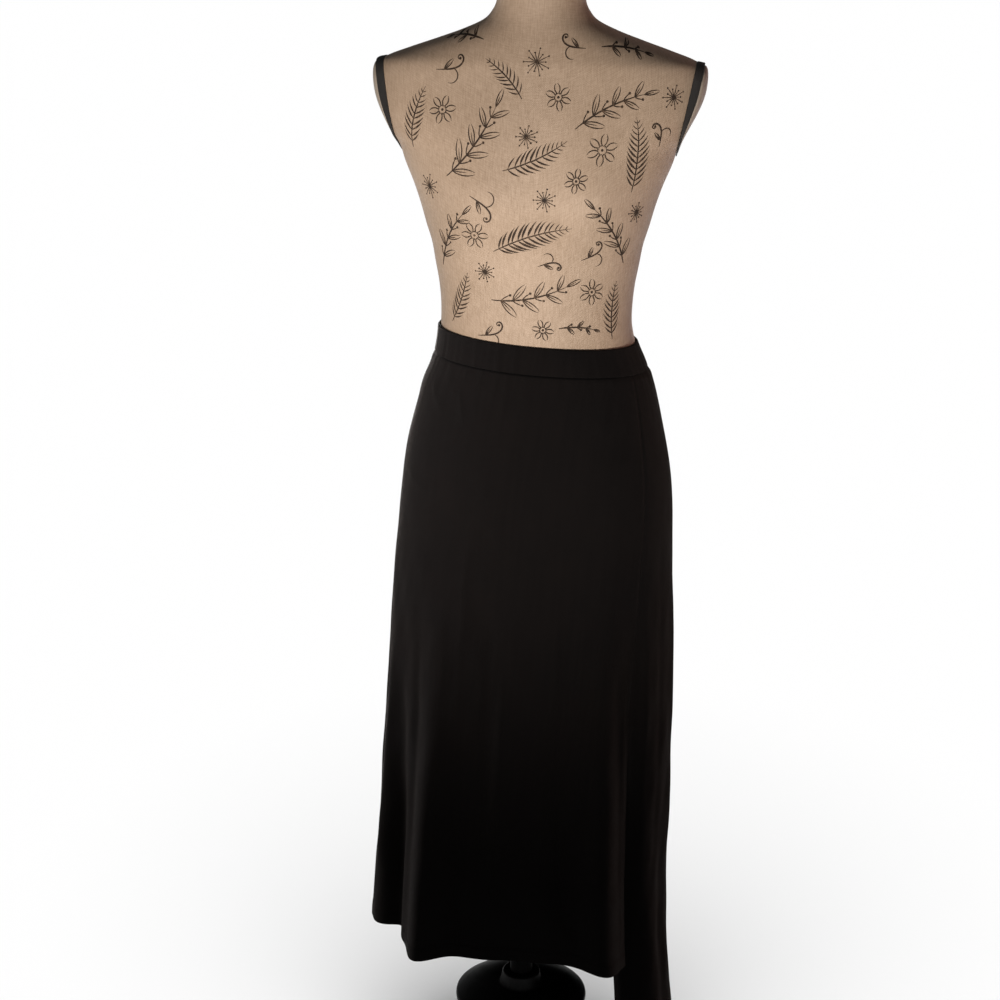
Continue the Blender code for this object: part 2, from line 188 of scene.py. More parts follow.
# Small gathers of the band and of the panels' tops: waves a turn, phase and size
GATHER_DEPTH = 0.00055
GATHER_FADE = 0.026
GATHER_WAVES = ((31, 0.4, 0.5), (47, 2.1, 0.4), (73, 4.4, 0.25))
BAND_GATHER_DEPTH = 0.00040
BAND_GATHER_SHIFT = 6
BAND_GATHER_TOP = 0.45

# Creases: the shares of the length over which each grows and fades, and how square its ridge is
CREASE_GROWS = 0.35
CREASE_FADES = 0.30
CREASE_POWER = 1.7

# Length of cloth to a degree of turn, near enough for placing creases
METRES_A_DEGREE = 0.0029

# Slow waves of hanging cloth: waves a turn, waves a metre of height, phase and depth in metres. They are
# weak on the hips and grow below them.
RIPPLES = ((9, 3.1, 0.7, 0.00045), (14, -4.7, 2.9, 0.00035), (23, 7.9, 5.1, 0.00022),
           (37, -11.3, 1.6, 0.00014))
RIPPLE_ON_HIPS = 0.25
RIPPLE_TOP = 0.95
RIPPLE_GROWS = 0.30

SHARP_ANGLE = math.radians(40)

Section = namedtuple("Section", "height plus_x minus_x front back square")
Fold = namedtuple("Fold", "turn spread reach starts full")
Arc = namedtuple("Arc", "radius height bulge steps")
Crease = namedtuple("Crease", "turn height end_turn end_height bow depth wide")
Panel = namedtuple("Panel", "name low_edge high_edge hem slit_side slit_at_high columns")
Motif = namedtuple("Motif", "kind across height angle size bend")


def named_rows(kind, lengths, rows):
    """Named rows. The fields that lengths names are given in millimetres and become metres."""
    names = lengths.split()
    return [kind(*(v / 1000 if name in names else v for name, v in zip(kind._fields, row))) for row in rows]


# The form, the same on both sides but for a slight sway: height, half width, sway, reach to the front and
# to the back, and squareness (2 is an ellipse)
TORSO = named_rows(Section, "height plus_x minus_x front back", [
    (height, half_width + sway, half_width - sway, front, back, square)
    for height, half_width, sway, front, back, square in [
        (1578, 49, 0, 44, 48, 2), (1575, 52.2, 0, 47, 51, 2), (1569, 53, 0, 48, 52, 2),
        (1550, 52.5, 0, 48, 54, 2), (1520, 55, 0, 50, 58, 2), (1508, 60, 0, 52, 64, 2),
        (1496, 71, 0, 55, 70, 2.05), (1484, 96, 0, 59, 75, 2.1), (1472, 129, 0, 64, 80, 2.15),
        (1460, 164, 0, 69, 85, 2.2), (1448, 195, 0, 74, 89, 2.3), (1436, 204, 0, 78, 92, 2.4),
        (1420, 206, 0, 84, 96, 2.45), (1400, 204, 0, 92, 100, 2.5), (1380, 198, 0, 100, 103, 2.5),
        (1360, 187, 0, 107, 105, 2.5), (1345, 176, 0, 111, 106, 2.45), (1322, 168, 0, 115, 106, 2.4),
        (1296, 157.5, 0, 117, 104, 2.35), (1270, 149, 0, 114, 101, 2.3), (1244, 142, 0, 108, 97, 2.25),
        (1220, 135, 0, 101, 92, 2.2), (1194, 130.5, 0, 96, 88, 2.15), (1168, 126, 0, 92, 85, 2.1),
        (1142, 123.5, 0, 89.5, 83.5, 2.1), (1115, 123.5, 0, 88.5, 84.5, 2.1), (1090, 127.2, 2, 90, 88, 2.1),
        (1063, 136.2, 4.5, 93, 94, 2.1), (1036, 146, 4, 96.5, 101.5, 2.1), (1010, 152.5, 3, 100, 108, 2.1),
        (983, 159, 3, 103, 113.5, 2.1), (955, 165.5, 3, 106, 118, 2.1), (927, 170, 3, 108, 120.5, 2.1),
        (900, 172.5, 3, 109, 121.5, 2.1), (870, 173, 3, 109.5, 119.5, 2.1), (840, 171, 3, 108, 115, 2.1),
        (812, 164, 3, 103, 107, 2.1), (790, 150, 3, 93, 95, 2.1), (779, 133, 3, 80, 81, 2.1),
        (TORSO_BOTTOM * 1000, 116, 3, 66, 67, 2.1),
    ]
])

# The skirt's outer face: height, reach to the form's left (+X) and right (-X), to the front and to the back
SKIRT = named_rows(Section, "height plus_x minus_x front back", [
    (1085, 135.5, 130.5, 95, 93.5, 2.1), (1063, 146.5, 136.5, 96.5, 99.5, 2.1),
    (1036, 155.5, 147.5, 100, 106.5, 2.1), (1010, 162, 154, 103.5, 112.5, 2.1),
    (983, 168, 161, 106.5, 118, 2.1), (955, 174, 167.5, 109.5, 122.5, 2.1),
    (927, 179, 172, 111.5, 125, 2.1), (900, 182.5, 175, 112.5, 126, 2.1), (870, 185, 178, 113, 125.5, 2.1),
    (830, 186.5, 181.5, 114, 124, 2.08), (785, 188, 186, 115, 122.5, 2.06),
    (730, 190.5, 190, 116, 121.5, 2.04), (660, 192.5, 195, 116.5, 121, 2.02),
    (580, 194.5, 200, 117, 120.5, 2), (500, 194.5, 205, 117.5, 120.5, 2), (420, 195, 210, 117.5, 121, 2),
    (340, 195, 216, 118, 122, 2), (243, 199, 222, 118, 123, 2), (95, 213, 224, 119, 125, 2),
])

# Soft folds of the skirt: turn, width in degrees, reach out (or in), and the heights where each begins and
# is full
FOLDS = named_rows(Fold, "reach starts full", [
    (-151, 8, -28, 800, 250), (-126, 7.5, 37, 820, 250), (-92, 9, -4, 620, 250), (-58, 9, 28, 900, 240),
    (-41, 8, -12, 920, 300), (-14, 6, -5, 560, 300), (46, 11, 20, 740, 160), (72, 12, -13, 720, 200),
    (99, 11, 24, 800, 220), (126, 10, -12, 680, 240), (146, 9, 17, 640, 240),
])

# Turn of the seam on the form's left, by height
LEFT_SEAM = [(1.07, -30), (0.86, -36), (0.60, -43), (0.40, -44), (0.08, -44)]

# Height of the hem, by turn
FRONT_HEM = [(-196, 0.242), (-120, 0.241), (-85, 0.242), (-66, 0.240), (-52, 0.231), (-40, 0.227)]
BACK_HEM = [(-50, 0.108), (-20, 0.100), (15, 0.100), (60, 0.122), (100, 0.162), (135, 0.210), (166, 0.242)]

# The turned base, down its outer side: each curve's end, how far it bows out, and its steps
BASE = [
    Arc(0.024, BASE_HEIGHT, 0, 1),
    Arc(0.026, BASE_HEIGHT - 0.0006, 0.0003, 3),
    Arc(0.027, BASE_HEIGHT - 0.003, 0.0003, 3),
    Arc(0.031, TIER_HEIGHT + 0.004, 0, 4),
    Arc(TIER_RADIUS, TIER_HEIGHT - 0.010, 0.006, 24),
    Arc(TIER_RADIUS - 0.006, TIER_HEIGHT - 0.022, 0.003, 8),
    Arc(0.066, 0.088, -0.004, 10),
    Arc(FOOT_RADIUS - 0.006, FOOT_HEIGHT, -0.016, 24),
    Arc(FOOT_RADIUS, FOOT_HEIGHT - 0.006, 0.002, 6),
    Arc(FOOT_RADIUS, 0.003, 0, 2),
    Arc(FOOT_RADIUS - 0.003, 0, 0.0006, 3),
    Arc(0, 0, 0, 1),
]

# Creases of the skirt, listed one by one: start and end, each a turn and a height, then bow, depth (out is
# positive) and width
CREASES = named_rows(Crease, "height end_height bow depth wide", [
    # front: long soft runs from the hips, and the slight pulls beside the slit
    (-112, 900, -116, 420, 6, 1.6, 10), (-104, 800, -106, 300, -4, -2.2, 11),
    (-97, 700, -99, 262, 5, 2.6, 9), (-81, 860, -78, 380, -6, 1.4, 12), (-76, 660, -72, 262, 4, -2.4, 10),
    (-66, 780, -67, 330, 5, 2, 9), (-52, 740, -50, 300, -3, -2, 7), (-46, 690, -45, 420, 3, 1.6, 5),
    (-139, 760, -137, 300, -5, -3, 9), (-159, 700, -164, 270, 4, 3.4, 10),
    (-172, 820, -176, 320, -6, -2.2, 12), (-184, 640, -187, 262, 4, 2.6, 10),
    # front: short drag lines that fan out below the waistband and across the hips
    (-152, 1052, -134, 1008, 4, 1.2, 6), (-141, 1058, -127, 1030, -2, 0.9, 5),
    (-128, 1060, -119, 990, 3, 1.1, 6), (-58, 1058, -71, 1018, -3, 1.1, 6),
    (-44, 1052, -60, 985, 4, 1.2, 7), (-40, 960, -63, 930, 3, 1, 7), (-160, 925, -136, 905, 4, 1.1, 8),
    # side strip and back
    (-33, 800, -31, 250, 4, 2.4, 8), (-23, 900, -24, 200, -4, -1.8, 9), (-5, 840, -3, 330, 5, 2.2, 10),
    (8, 620, 10, 130, -4, -3.4, 11), (21, 760, 22, 140, 5, 4, 10), (34, 560, 32, 180, 3, -4, 11),
    (58, 880, 60, 420, -4, -2.6, 10), (84, 780, 85, 210, 5, 3.6, 9), (111, 700, 113, 220, -4, -3.4, 9),
    (136, 800, 135, 260, 4, -2.8, 9), (156, 760, 157, 300, -4, 2.6, 9), (24, 1052, 40, 1000, 4, 1.3, 7),
    (39, 1058, 52, 1022, -3, 1.1, 6), (146, 1052, 128, 996, 4, 1.3, 7), (132, 1058, 119, 1024, 3, 1, 6),
    (70, 1050, 104, 1040, 4, 1.2, 7), (62, 985, 100, 968, -6, 1.2, 9),
])


def smooth_step(share):
    share = np.clip(share, 0.0, 1.0)
    return share * share * (3 - 2 * share)


def bell(distance, spread):
    return np.exp(-((distance / spread) ** 2))


def turn_gap(turn, other):
    """How far a turn is past another, from -180 to 180 degrees."""
    return (turn - other + 180) % 360 - 180


def unit(vectors):
    return vectors / np.linalg.norm(vectors, axis=1)[:, None]


def lengths_along(points, axis):
    """How far each point lies from the first, along an axis of the array."""
    lengths = np.linalg.norm(np.diff(points, axis=axis), axis=-1).cumsum(axis=axis)
    return np.insert(lengths, 0, 0.0, axis=axis)


def on_curve(places, values, place):
    """The value at each place, on a smooth curve through points whose places rise."""
    places, values = np.asarray(places, float), np.asarray(values, float)
    last = len(places) - 1
    place = np.clip(place, places[0], places[last])
    i = np.clip(np.searchsorted(places, place, side="right") - 1, 0, last - 1)
    before = np.maximum(np.arange(last + 1) - 1, 0)
    after = np.minimum(np.arange(last + 1) + 1, last)
    slope = (values[after] - values[before]) / (places[after] - places[before])
    step = places[i + 1] - places[i]
    s = (place - places[i]) / step
    return (
        values[i] * (1 + 2 * s) * (1 - s) ** 2
        + slope[i] * step * s * (1 - s) ** 2
        + values[i + 1] * s * s * (3 - 2 * s)
        + slope[i + 1] * step * s * s * (s - 1)
    )


def section_at(table, height):
    """The table's section at each height, every size on its own smooth curve."""
    rows = sorted(table)
    heights = [row.height for row in rows]
    return Section(*(on_curve(heights, size, height) for size in zip(*rows)))


def mark_at(marks, place):
    """The value at a place, from pairs of a place and its value."""
    return on_curve(*zip(*sorted(marks)), place)


def oval(section, turn):
    """The points of a section at turns in degrees, as x and y in the last axis."""
    c, s = np.cos(np.radians(turn)), np.sin(np.radians(turn))
    power = 2 / section.square
    x = np.sign(c) * np.abs(c) ** power * np.where(c > 0, section.plus_x, section.minus_x)
    y = np.sign(s) * np.abs(s) ** power * np.where(s > 0, section.back, section.front)
    return np.stack(np.broadcast_arrays(x, y), axis=-1)


def outward(section, turn):
    """The level direction that points out of a section at a turn, and how far a degree of turn goes there."""
    along = oval(section, turn + 0.5) - oval(section, turn - 0.5)
    degree = np.hypot(along[..., 0], along[..., 1])
    return np.stack([along[..., 1], -along[..., 0]], axis=-1) / degree[..., None], degree


def raised(section, turn, height, out):
    """Points of a section moved out by a distance, at their heights."""
    away, _ = outward(section, turn)
    flat = oval(section, turn) + away * np.asarray(out)[..., None]
    x, y, z = np.broadcast_arrays(flat[..., 0] + FORM_SHIFT, flat[..., 1], height)
    return np.stack([x, y, z], axis=-1)


def torso_point(turn, height, out=0.0):
    """Points of the form's surface, moved out by a distance."""
    turn, height = np.broadcast_arrays(np.asarray(turn, float), np.asarray(height, float))
    section = section_at(TORSO, height)
    flat = oval(section, turn)
    rise = CHEST_REACH * bell(np.abs(flat[..., 0]) - CHEST_APART, CHEST_WIDE)
    rise = rise * bell(height - CHEST_HEIGHT, CHEST_TALL) * smooth_step(-flat[..., 1] / section.front)
    points = raised(section, turn, height, np.broadcast_to(out, turn.shape))
    points[..., 1] -= rise
    return points


def fold_reach(turn, height):
    """How far the folds carry the cloth out at a place."""
    reach = 0.0
    for fold in FOLDS:
        grown = smooth_step((fold.starts - height) / (fold.starts - fold.full))
        reach = reach + fold.reach * bell(turn_gap(turn, fold.turn), fold.spread) * grown
    return reach


def slit_share(height):
    """0 at the top of the slit and above, and 1 at the front's hem and below."""
    return np.clip((SLIT_TOP - height) / (SLIT_TOP - FRONT_HEM[0][1]), 0.0, 1.0)


def band_top(turn):
    return BAND_TOP - BAND_TILT * np.cos(np.radians(turn))


def front_edge(height):
    return mark_at(LEFT_SEAM, height)


def back_edge(height):
    """The back's edge, which slips behind the front's below the slit's top."""
    return front_edge(height) - SLIT_OVERLAP * smooth_step((slit_share(height) - 0.25) / 0.75)


def front_side_edge(height):
    return SIDE_SEAM_TURN - 360 + 0 * height


def back_side_edge(height):
    return SIDE_SEAM_TURN + 0 * height


FRONT = Panel("skirt_front_cloth", front_side_edge, front_edge, FRONT_HEM, FRONT_LIFT, True, 172)
BACK = Panel("skirt_back_cloth", back_edge, back_side_edge, BACK_HEM, -BACK_TUCK, False, 176)


def panel_turn(panel, height, share):
    """The turn that lies at a share of the way from the panel's low edge to its high one."""
    low, high = panel.low_edge(height), panel.high_edge(height)
    return low + (high - low) * share


def crease_relief(turn, height):
    """How far the creases lift the cloth, each a soft ridge or trough that fades at its ends."""
    relief = 0.0
    for crease in CREASES:
        start = np.array([crease.turn * METRES_A_DEGREE, crease.height])
        end = np.array([crease.end_turn * METRES_A_DEGREE, crease.end_height])
        length = np.hypot(*(end - start))
        along = (end - start) / length
        du, dv = turn_gap(turn, crease.turn) * METRES_A_DEGREE, height - crease.height
        share = (du * along[0] + dv * along[1]) / length
        off = du * along[1] - dv * along[0] - crease.bow * 4 * share * (1 - share)
        fade = smooth_step(share / CREASE_GROWS) * smooth_step((1 - share) / CREASE_FADES)
        wide = crease.wide * (0.75 + 0.5 * share)
        relief = relief + crease.depth * fade * np.exp(-np.abs(off / wide) ** CREASE_POWER)
    return relief


def ripple_relief(turn, height):
    """Slow, shallow waves of cloth that hangs free, which die down where it lies on the hips."""
    free = RIPPLE_ON_HIPS + (1 - RIPPLE_ON_HIPS) * smooth_step((RIPPLE_TOP - height) / RIPPLE_GROWS)
    wave = sum(
        depth * np.sin(np.radians(turn) * round_waves + height * math.tau * high_waves + phase)
        for round_waves, high_waves, phase, depth in RIPPLES
    )
    return wave * free


def gathers(turn):
    """Uneven small gathers round the waist, between about -1 and 1."""
    return sum(size * np.sin(np.radians(turn) * waves + phase) for waves, phase, size in GATHER_WAVES)


def turned_relief(distance, depth, stitch_rows):
    """The doubled cloth of a turned edge: a low step up, and a dip along each row of stitches."""
    relief = HEM_RISE * smooth_step((depth - distance) / HEM_STEP + 0.5)
    for row in stitch_rows:
        relief = relief - STITCH_DIP * bell(distance - row, STITCH_DIP_WIDE)
    return relief


def edge_distances(panel, turn, height):
    """How far a place is from the panel's side seam and from its slit edge, in metres."""
    _, degree = outward(section_at(SKIRT, height), turn)
    low, high = (turn - panel.low_edge(height)) * degree, (panel.high_edge(height) - turn) * degree
    return (low, high) if panel.slit_at_high else (high, low)


def skirt_point(panel, turn, height):
    """Points of a panel's outer face."""
    out = fold_reach(turn, height) + crease_relief(turn, height) + ripple_relief(turn, height)
    off = turn - front_edge(height)
    out = out + panel.slit_side * bell(off, SLIT_EASE) * slit_share(height) ** SLIT_CURVE
    below = band_top(turn) - BAND_HEIGHT - height
    out = out + GATHER_DEPTH * gathers(turn) * np.exp(-np.abs(below) / GATHER_FADE)
    side, slit = edge_distances(panel, turn, height)
    seamed = smooth_step((height - SLIT_TOP) / SEAM_END + 0.5)
    out = out - SEAM_DIP * (bell(side, SEAM_DIP_WIDE) + bell(slit, SEAM_DIP_WIDE) * seamed)
    out = out + turned_relief(slit, FACING_DEPTH, FACING_STITCHES) * (1 - seamed)
    out = out + turned_relief(height - mark_at(panel.hem, turn), HEM_DEPTH, HEM_STITCHES)
    points = raised(section_at(SKIRT, height), turn, height, out)
    tucked = torso_point(turn, height, BAND_CLEARANCE + BAND_THICK / 2)
    return tucked + (points - tucked) * smooth_step((below + BAND_TUCK) / BAND_TUCK_FADE)[..., None]


def form_relief(turn, height):
    """The cover's seams, sunk a little: both sides, the centre back and the ring at the neck."""
    _, degree = outward(section_at(TORSO, height), turn)
    sunk = -NECK_SEAM_DEPTH * bell(height - NECK_SEAM, NECK_SEAM_WIDE)
    for seam in COVER_SEAM_TURNS:
        off = turn_gap(turn, seam) * degree
        sunk = sunk - COVER_SEAM_DEPTH * bell(off, COVER_SEAM_WIDE)
        sunk = sunk + PUFF_RISE * bell(np.abs(off) - PUFF_APART, PUFF_WIDE)
    return sunk


def link_piece(obj, replaced):
    """Adds an object to the scene, rides it on the root body and hides the node it replaces."""
    bpy.context.scene.collection.objects.link(obj)
    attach(obj, "root")
    if replaced:
        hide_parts(replaced)
    return obj


def mesh_piece(name, points, faces, finish, replaced=None, uv=None, reshape=None):
    """A smooth object from points and faces.

    uv holds a place on the flat cloth for each corner of each face. reshape changes the mesh while it is a
    bmesh.
    """
    mesh = bpy.data.meshes.new(name)
    mesh.from_pydata(points, [], faces)
    if uv is not None:
        mesh.uv_layers.new(name="cloth").uv.foreach_set("vector", np.asarray(uv, np.float32).ravel())
    if reshape:
        bm = bmesh.new()
        bm.from_mesh(mesh)
        reshape(bm)
        bm.to_mesh(mesh)
        bm.free()
    mesh.shade_smooth()
    mesh.set_sharp_from_angle(angle=SHARP_ANGLE)
    mesh.materials.append(finish)
    return link_piece(bpy.data.objects.new(name, mesh), replaced)


def grid_mesh(grid, closed, middles=(0.5,)):
    """The faces of a grid of points, and the place of each of their corners on the flat cloth.

    A place is the length along its row and down its column. Lengths along a row count from the nearest of the
    middles, which are shares of the row. The rows of a closed grid run all the way round.
    """
    ring = np.concatenate([grid, grid[:, :1]], axis=1) if closed else grid
    last = ring.shape[1] - 1
    across = lengths_along(ring, 1)
    nearest = np.abs(np.arange(last + 1)[:, None] / last - np.array(middles)).argmin(axis=1)
    across -= across[:, np.round(np.array(middles)[nearest] * last).astype(int)]
    places = np.stack([across, -lengths_along(ring, 0)], axis=-1)
    row, column = np.meshgrid(np.arange(len(grid) - 1), np.arange(last), indexing="ij")
    row, column = row.ravel(), column.ravel()
    corner_rows = np.stack([row, row + 1, row + 1, row], axis=1)
    corner_columns = np.stack([column, column, column + 1, column + 1], axis=1)
    faces = corner_rows * grid.shape[1] + corner_columns % grid.shape[1]
    return faces, places[corner_rows, corner_columns]


def tube_faces(count, rings, sides):
    """Faces of some closed tubes with as many rings of as many points each, their ends capped."""
    faces = []
    for tube in range(count):
        first = tube * rings * sides
        for ring in range(rings - 1):
            near, far = first + ring * sides, first + (ring + 1) * sides
            faces += [(near + k, near + (k + 1) % sides, far + (k + 1) % sides, far + k)
                      for k in range(sides)]
        last = first + (rings - 1) * sides
        faces.append(tuple(range(first + sides - 1, first - 1, -1)))
        faces.append(tuple(range(last, last + sides)))
    return faces


# Materials


# Pitch of the knit's wales and loops, of the linen's threads and of the tape's rib
WALE = 0.0011
LOOP = 0.00085
LOOP_SLANT = 3.0
LOOP_SHARE = 0.45
THREAD = 0.0012
RIB = 0.0014

# Colours, and ramps of them as pairs of a place and a colour
JERSEY_SHEEN = (1.0, 0.88, 0.82, 1)
JERSEY_DYE = [(0.30, (0.0036, 0.0029, 0.0028)), (0.70, (0.0063, 0.0050, 0.0047))]
JERSEY_LINT = (0.028, 0.024, 0.022, 1)
# Near black of the painted shade on the panels' tops, just under the waistband's edge
JERSEY_PAINTED_SHADE = (0.0006, 0.0005, 0.0005, 1)
LINEN_SHEEN = (1.0, 0.86, 0.78, 1)
COVER_LINEN = ((0.27, 0.185, 0.12), (0.47, 0.345, 0.25))
PLATE_LINEN = ((0.25, 0.20, 0.155), (0.40, 0.34, 0.28))
BROWN_INK = [(0.40, (0.022, 0.014, 0.010)), (0.58, (0.042, 0.026, 0.016)), (0.70, (0.13, 0.08, 0.05))]
TAPE_DYE = [(0.35, (0.005, 0.004, 0.003)), (0.68, (0.017, 0.013, 0.011))]
BLACK_PAINT = [(0.40, (0.003, 0.003, 0.003)), (0.75, (0.008, 0.007, 0.007))]
PALE_FLOOR = (0.92, 0.92, 0.92, 1)


def new_finish(name, roughness, **sockets):
    """A material whose shader has these constants, its node tree and its shader."""
    made = bpy.data.materials.new(name)
    made.use_nodes = True
    shader = made.node_tree.nodes["Principled BSDF"]
    shader.inputs["Roughness"].default_value = roughness
    for socket, value in sockets.items():
        shader.inputs[socket.replace("_", " ")].default_value = value
    return made, made.node_tree, shader


def node(tree, kind, inputs=(), **settings):
    """A new node. inputs pairs each socket with a number or another socket to link."""
    made = tree.nodes.new(kind)
    for name, value in settings.items():
        setattr(made, name, value)
    for socket, value in dict(inputs).items():
        if isinstance(value, bpy.types.NodeSocket):
            tree.links.new(value, made.inputs[socket])
        else:
            made.inputs[socket].default_value = value
    return made


def maths(tree, operation, first, second=0.0, third=0.0):
    return node(tree, "ShaderNodeMath", {0: first, 1: second, 2: third}, operation=operation).outputs[0]


def weighted(tree, *parts, base=0.0):
    """A sum of values, each given with its weight."""
    for value, weight in parts:
        base = maths(tree, "MULTIPLY_ADD", value, weight, base)
    return base


def noise(tree, vector, scale, detail=2.0, roughness=0.5):
    """Noise at one scale, or at a scale for each axis."""
    if isinstance(scale, tuple):
        vector = node(tree, "ShaderNodeVectorMath", {0: vector, 1: scale}, operation="MULTIPLY").outputs[0]
        scale = 1.0
    inputs = {"Vector": vector, "Scale": scale, "Detail": detail, "Roughness": roughness}
    return node(tree, "ShaderNodeTexNoise", inputs).outputs["Fac"]


def ramp(tree, factor, stops):
    """A colour ramp: each stop is its place and its colour."""
    made = node(tree, "ShaderNodeValToRGB", {"Fac": factor})
    elements = made.color_ramp.elements
    while len(elements) < len(stops):
        elements.new(1.0)
    for element, (place, colour) in zip(elements, stops):
        element.position = place
        element.color = (*colour, 1)
    return made.outputs["Color"]


def remapped(tree, value, low, high, new_low, new_high):
    inputs = {"Value": value, "From Min": low, "From Max": high, "To Min": new_low, "To Max": new_high}
    return node(tree, "ShaderNodeMapRange", inputs).outputs["Result"]


def mixed(tree, factor, first, second):
    """Two colours mixed. The sockets for colours are the mix node's seventh and eighth."""
    return node(tree, "ShaderNodeMix", {0: factor, 6: first, 7: second}, data_type="RGBA").outputs[2]


def flat_place(tree):
    """The place on the flat cloth in metres: the vector, across and up."""
    vector = node(tree, "ShaderNodeUVMap", uv_map="cloth").outputs["UV"]
    parts = node(tree, "ShaderNodeSeparateXYZ", {0: vector})
    return vector, parts.outputs["X"], parts.outputs["Y"]


def object_place(tree):
    return node(tree, "ShaderNodeTexCoord").outputs["Object"]


def waves(tree, place, pitch, phase=0.0):
    """A sine along a place in metres, with this pitch."""
    return maths(tree, "SINE", maths(tree, "MULTIPLY_ADD", place, math.tau / pitch, phase))


def bump(tree, shader, height, distance, strength=1.0, below=None):
    made = node(tree, "ShaderNodeBump", {"Height": height, "Distance": distance, "Strength": strength})
    if below is not None:
        tree.links.new(below, made.inputs["Normal"])
    tree.links.new(made.outputs["Normal"], shader.inputs["Normal"])
    return made.outputs["Normal"]


def feed(tree, shader, colour, roughness=None):
    """Links a colour to the shader, and a roughness where that varies too."""
    tree.links.new(colour, shader.inputs["Base Color"])
    if roughness is not None:
        tree.links.new(roughness, shader.inputs["Roughness"])


def jersey_finish(name, painted_shade_at_top=False):
    """Fine black knit: wales with small slanted loops, a faint uneven dye and a soft nap.

    A piece that is sewn in at its top gets painted shade there: a dark strip just under the waistband's edge.
    """
    made, tree, shader = new_finish(
        name, 0.9, Specular_IOR_Level=0.04, Sheen_Weight=0.036, Sheen_Roughness=0.32, Sheen_Tint=JERSEY_SHEEN
    )
    vector, across, up = flat_place(tree)
    slant = maths(tree, "ABSOLUTE", waves(tree, across, 2 * WALE, 0.6))
    loops = weighted(tree, (slant, LOOP_SLANT), (up, math.tau / LOOP))
    knit = weighted(tree, (maths(tree, "SINE", loops), LOOP_SHARE), base=waves(tree, across, WALE))
    nap = noise(tree, vector, (2600, 1700, 1), 3.0, 0.6)
    streaks = noise(tree, vector, (150, 6, 1), 3.0, 0.55)
    clouds = noise(tree, object_place(tree), 9.0, 3.0, 0.6)
    colour = ramp(tree, weighted(tree, (clouds, 0.72), (streaks, 0.28)), JERSEY_DYE)
    lint = remapped(tree, noise(tree, vector, (900, 420, 1), 1.0), 0.76, 0.84, 0.0, 0.30)
    colour = mixed(tree, lint, colour, JERSEY_LINT)
    if painted_shade_at_top:
        # Painted shade: the panel's top few millimetres are darkened where the band's lower edge would shade
        # them
        shade = remapped(tree, up, -SEAM_SHADE - SEAM_SHADE_FADE, -SEAM_SHADE, 0.0, 0.85)
        colour = mixed(tree, shade, colour, JERSEY_PAINTED_SHADE)
    feed(tree, shader, colour, remapped(tree, clouds, 0.3, 0.7, 0.84, 0.96))
    fine = bump(tree, shader, knit, 0.00012, 0.55)
    bump(tree, shader, nap, 0.00018, 0.5, fine)
    return made


def linen_finish(name, dark, light):
    """Natural linen: a plain weave with thick and thin threads, upright slubs and a slow change of tone."""
    made, tree, shader = new_finish(
        name, 0.6, Specular_IOR_Level=0.38, Sheen_Weight=0.03, Sheen_Roughness=0.4, Sheen_Tint=LINEN_SHEEN
    )
    vector, across, up = flat_place(tree)
    threads_up, threads_across = waves(tree, across, THREAD), waves(tree, up, THREAD)
    over = maths(tree, "MULTIPLY", waves(tree, across, 2 * THREAD), waves(tree, up, 2 * THREAD))
    weave = weighted(tree, (over, 0.6), base=maths(tree, "MAXIMUM", threads_up, threads_across))
    slubs = noise(tree, vector, (560, 60, 1), 4.0, 0.65)
    threads = noise(tree, vector, (80, 600, 1), 4.0, 0.65)
    clouds = noise(tree, object_place(tree), 9.0, 4.0, 0.6)
    tone = weighted(tree, (threads, 0.36), (slubs, 0.40), (clouds, 0.24), (weave, 0.018))
    middle = tuple((a + b) / 2 for a, b in zip(light, dark))
    colour = ramp(tree, tone, [(0.36, dark), (0.52, middle), (0.70, light)])
    feed(tree, shader, colour, remapped(tree, slubs, 0.3, 0.7, 0.58, 0.44))
    coarse = bump(tree, shader, slubs, 0.0006, 0.6)
    bump(tree, shader, weave, 0.00018, 0.55, coarse)
    return made


def ink_finish(name):
    """Dark brown ink that the threads of the cloth break up."""
    made, tree, shader = new_finish(name, 0.8, Specular_IOR_Level=0.2)
    worn = noise(tree, object_place(tree), (420, 420, 60), 3.0, 0.7)
    feed(tree, shader, ramp(tree, worn, BROWN_INK))
    bump(tree, shader, worn, 0.0002, 0.5)
    return made


def tape_finish(name):
    """Black woven tape with a slanted rib and a light nap."""
    made, tree, shader = new_finish(
        name, 0.7, Specular_IOR_Level=0.25, Sheen_Weight=0.08, Sheen_Roughness=0.4)
    place = object_place(tree)
    parts = node(tree, "ShaderNodeSeparateXYZ", {0: place})
    rib = waves(tree, maths(tree, "ADD", parts.outputs["Y"], parts.outputs["Z"]), RIB)
    fuzz = noise(tree, place, 900.0, 3.0, 0.6)
    feed(tree, shader, ramp(tree, fuzz, TAPE_DYE), remapped(tree, fuzz, 0.3, 0.7, 0.5, 0.7))
    bump(tree, shader, rib, 0.00025, 0.7)
    return made


def paint_finish(name):
    """Satin black paint with faint wear, fine scratches and a little dust."""
    made, tree, shader = new_finish(name, 0.5, Specular_IOR_Level=0.12, Coat_Weight=0.02, Coat_Roughness=0.35)
    place = object_place(tree)
    dust = noise(tree, place, 38.0, 5.0, 0.65)
    scratches = noise(tree, place, (60, 60, 900))
    rough = weighted(tree, (scratches, 0.22), (dust, 0.30), base=0.26)
    feed(tree, shader, ramp(tree, dust, BLACK_PAINT), rough)
    bump(tree, shader, scratches, 0.00005, 0.4)
    return made


# The form


def cover_heights():
    """Heights of the cover's rings from the top down, closest together over the shoulders."""
    heights = [high + (low - high) * k / steps for high, low, steps in COVER_BANDS for k in range(steps)]
    return np.array(heights + list(np.linspace(COVER_BANDS[-1][1], TORSO_BOTTOM, COVER_END_STEPS)))


def arm_plane(side):
    """A point and the outward direction of the plane that ends a shoulder. side is 1 at +X and -1 at -X."""
    direction = Vector((side * math.cos(ARM_LEAN), 0, -math.sin(ARM_LEAN)))
    return Vector((FORM_SHIFT + side * ARM_REACH, 0, ARM_HEIGHT)), direction


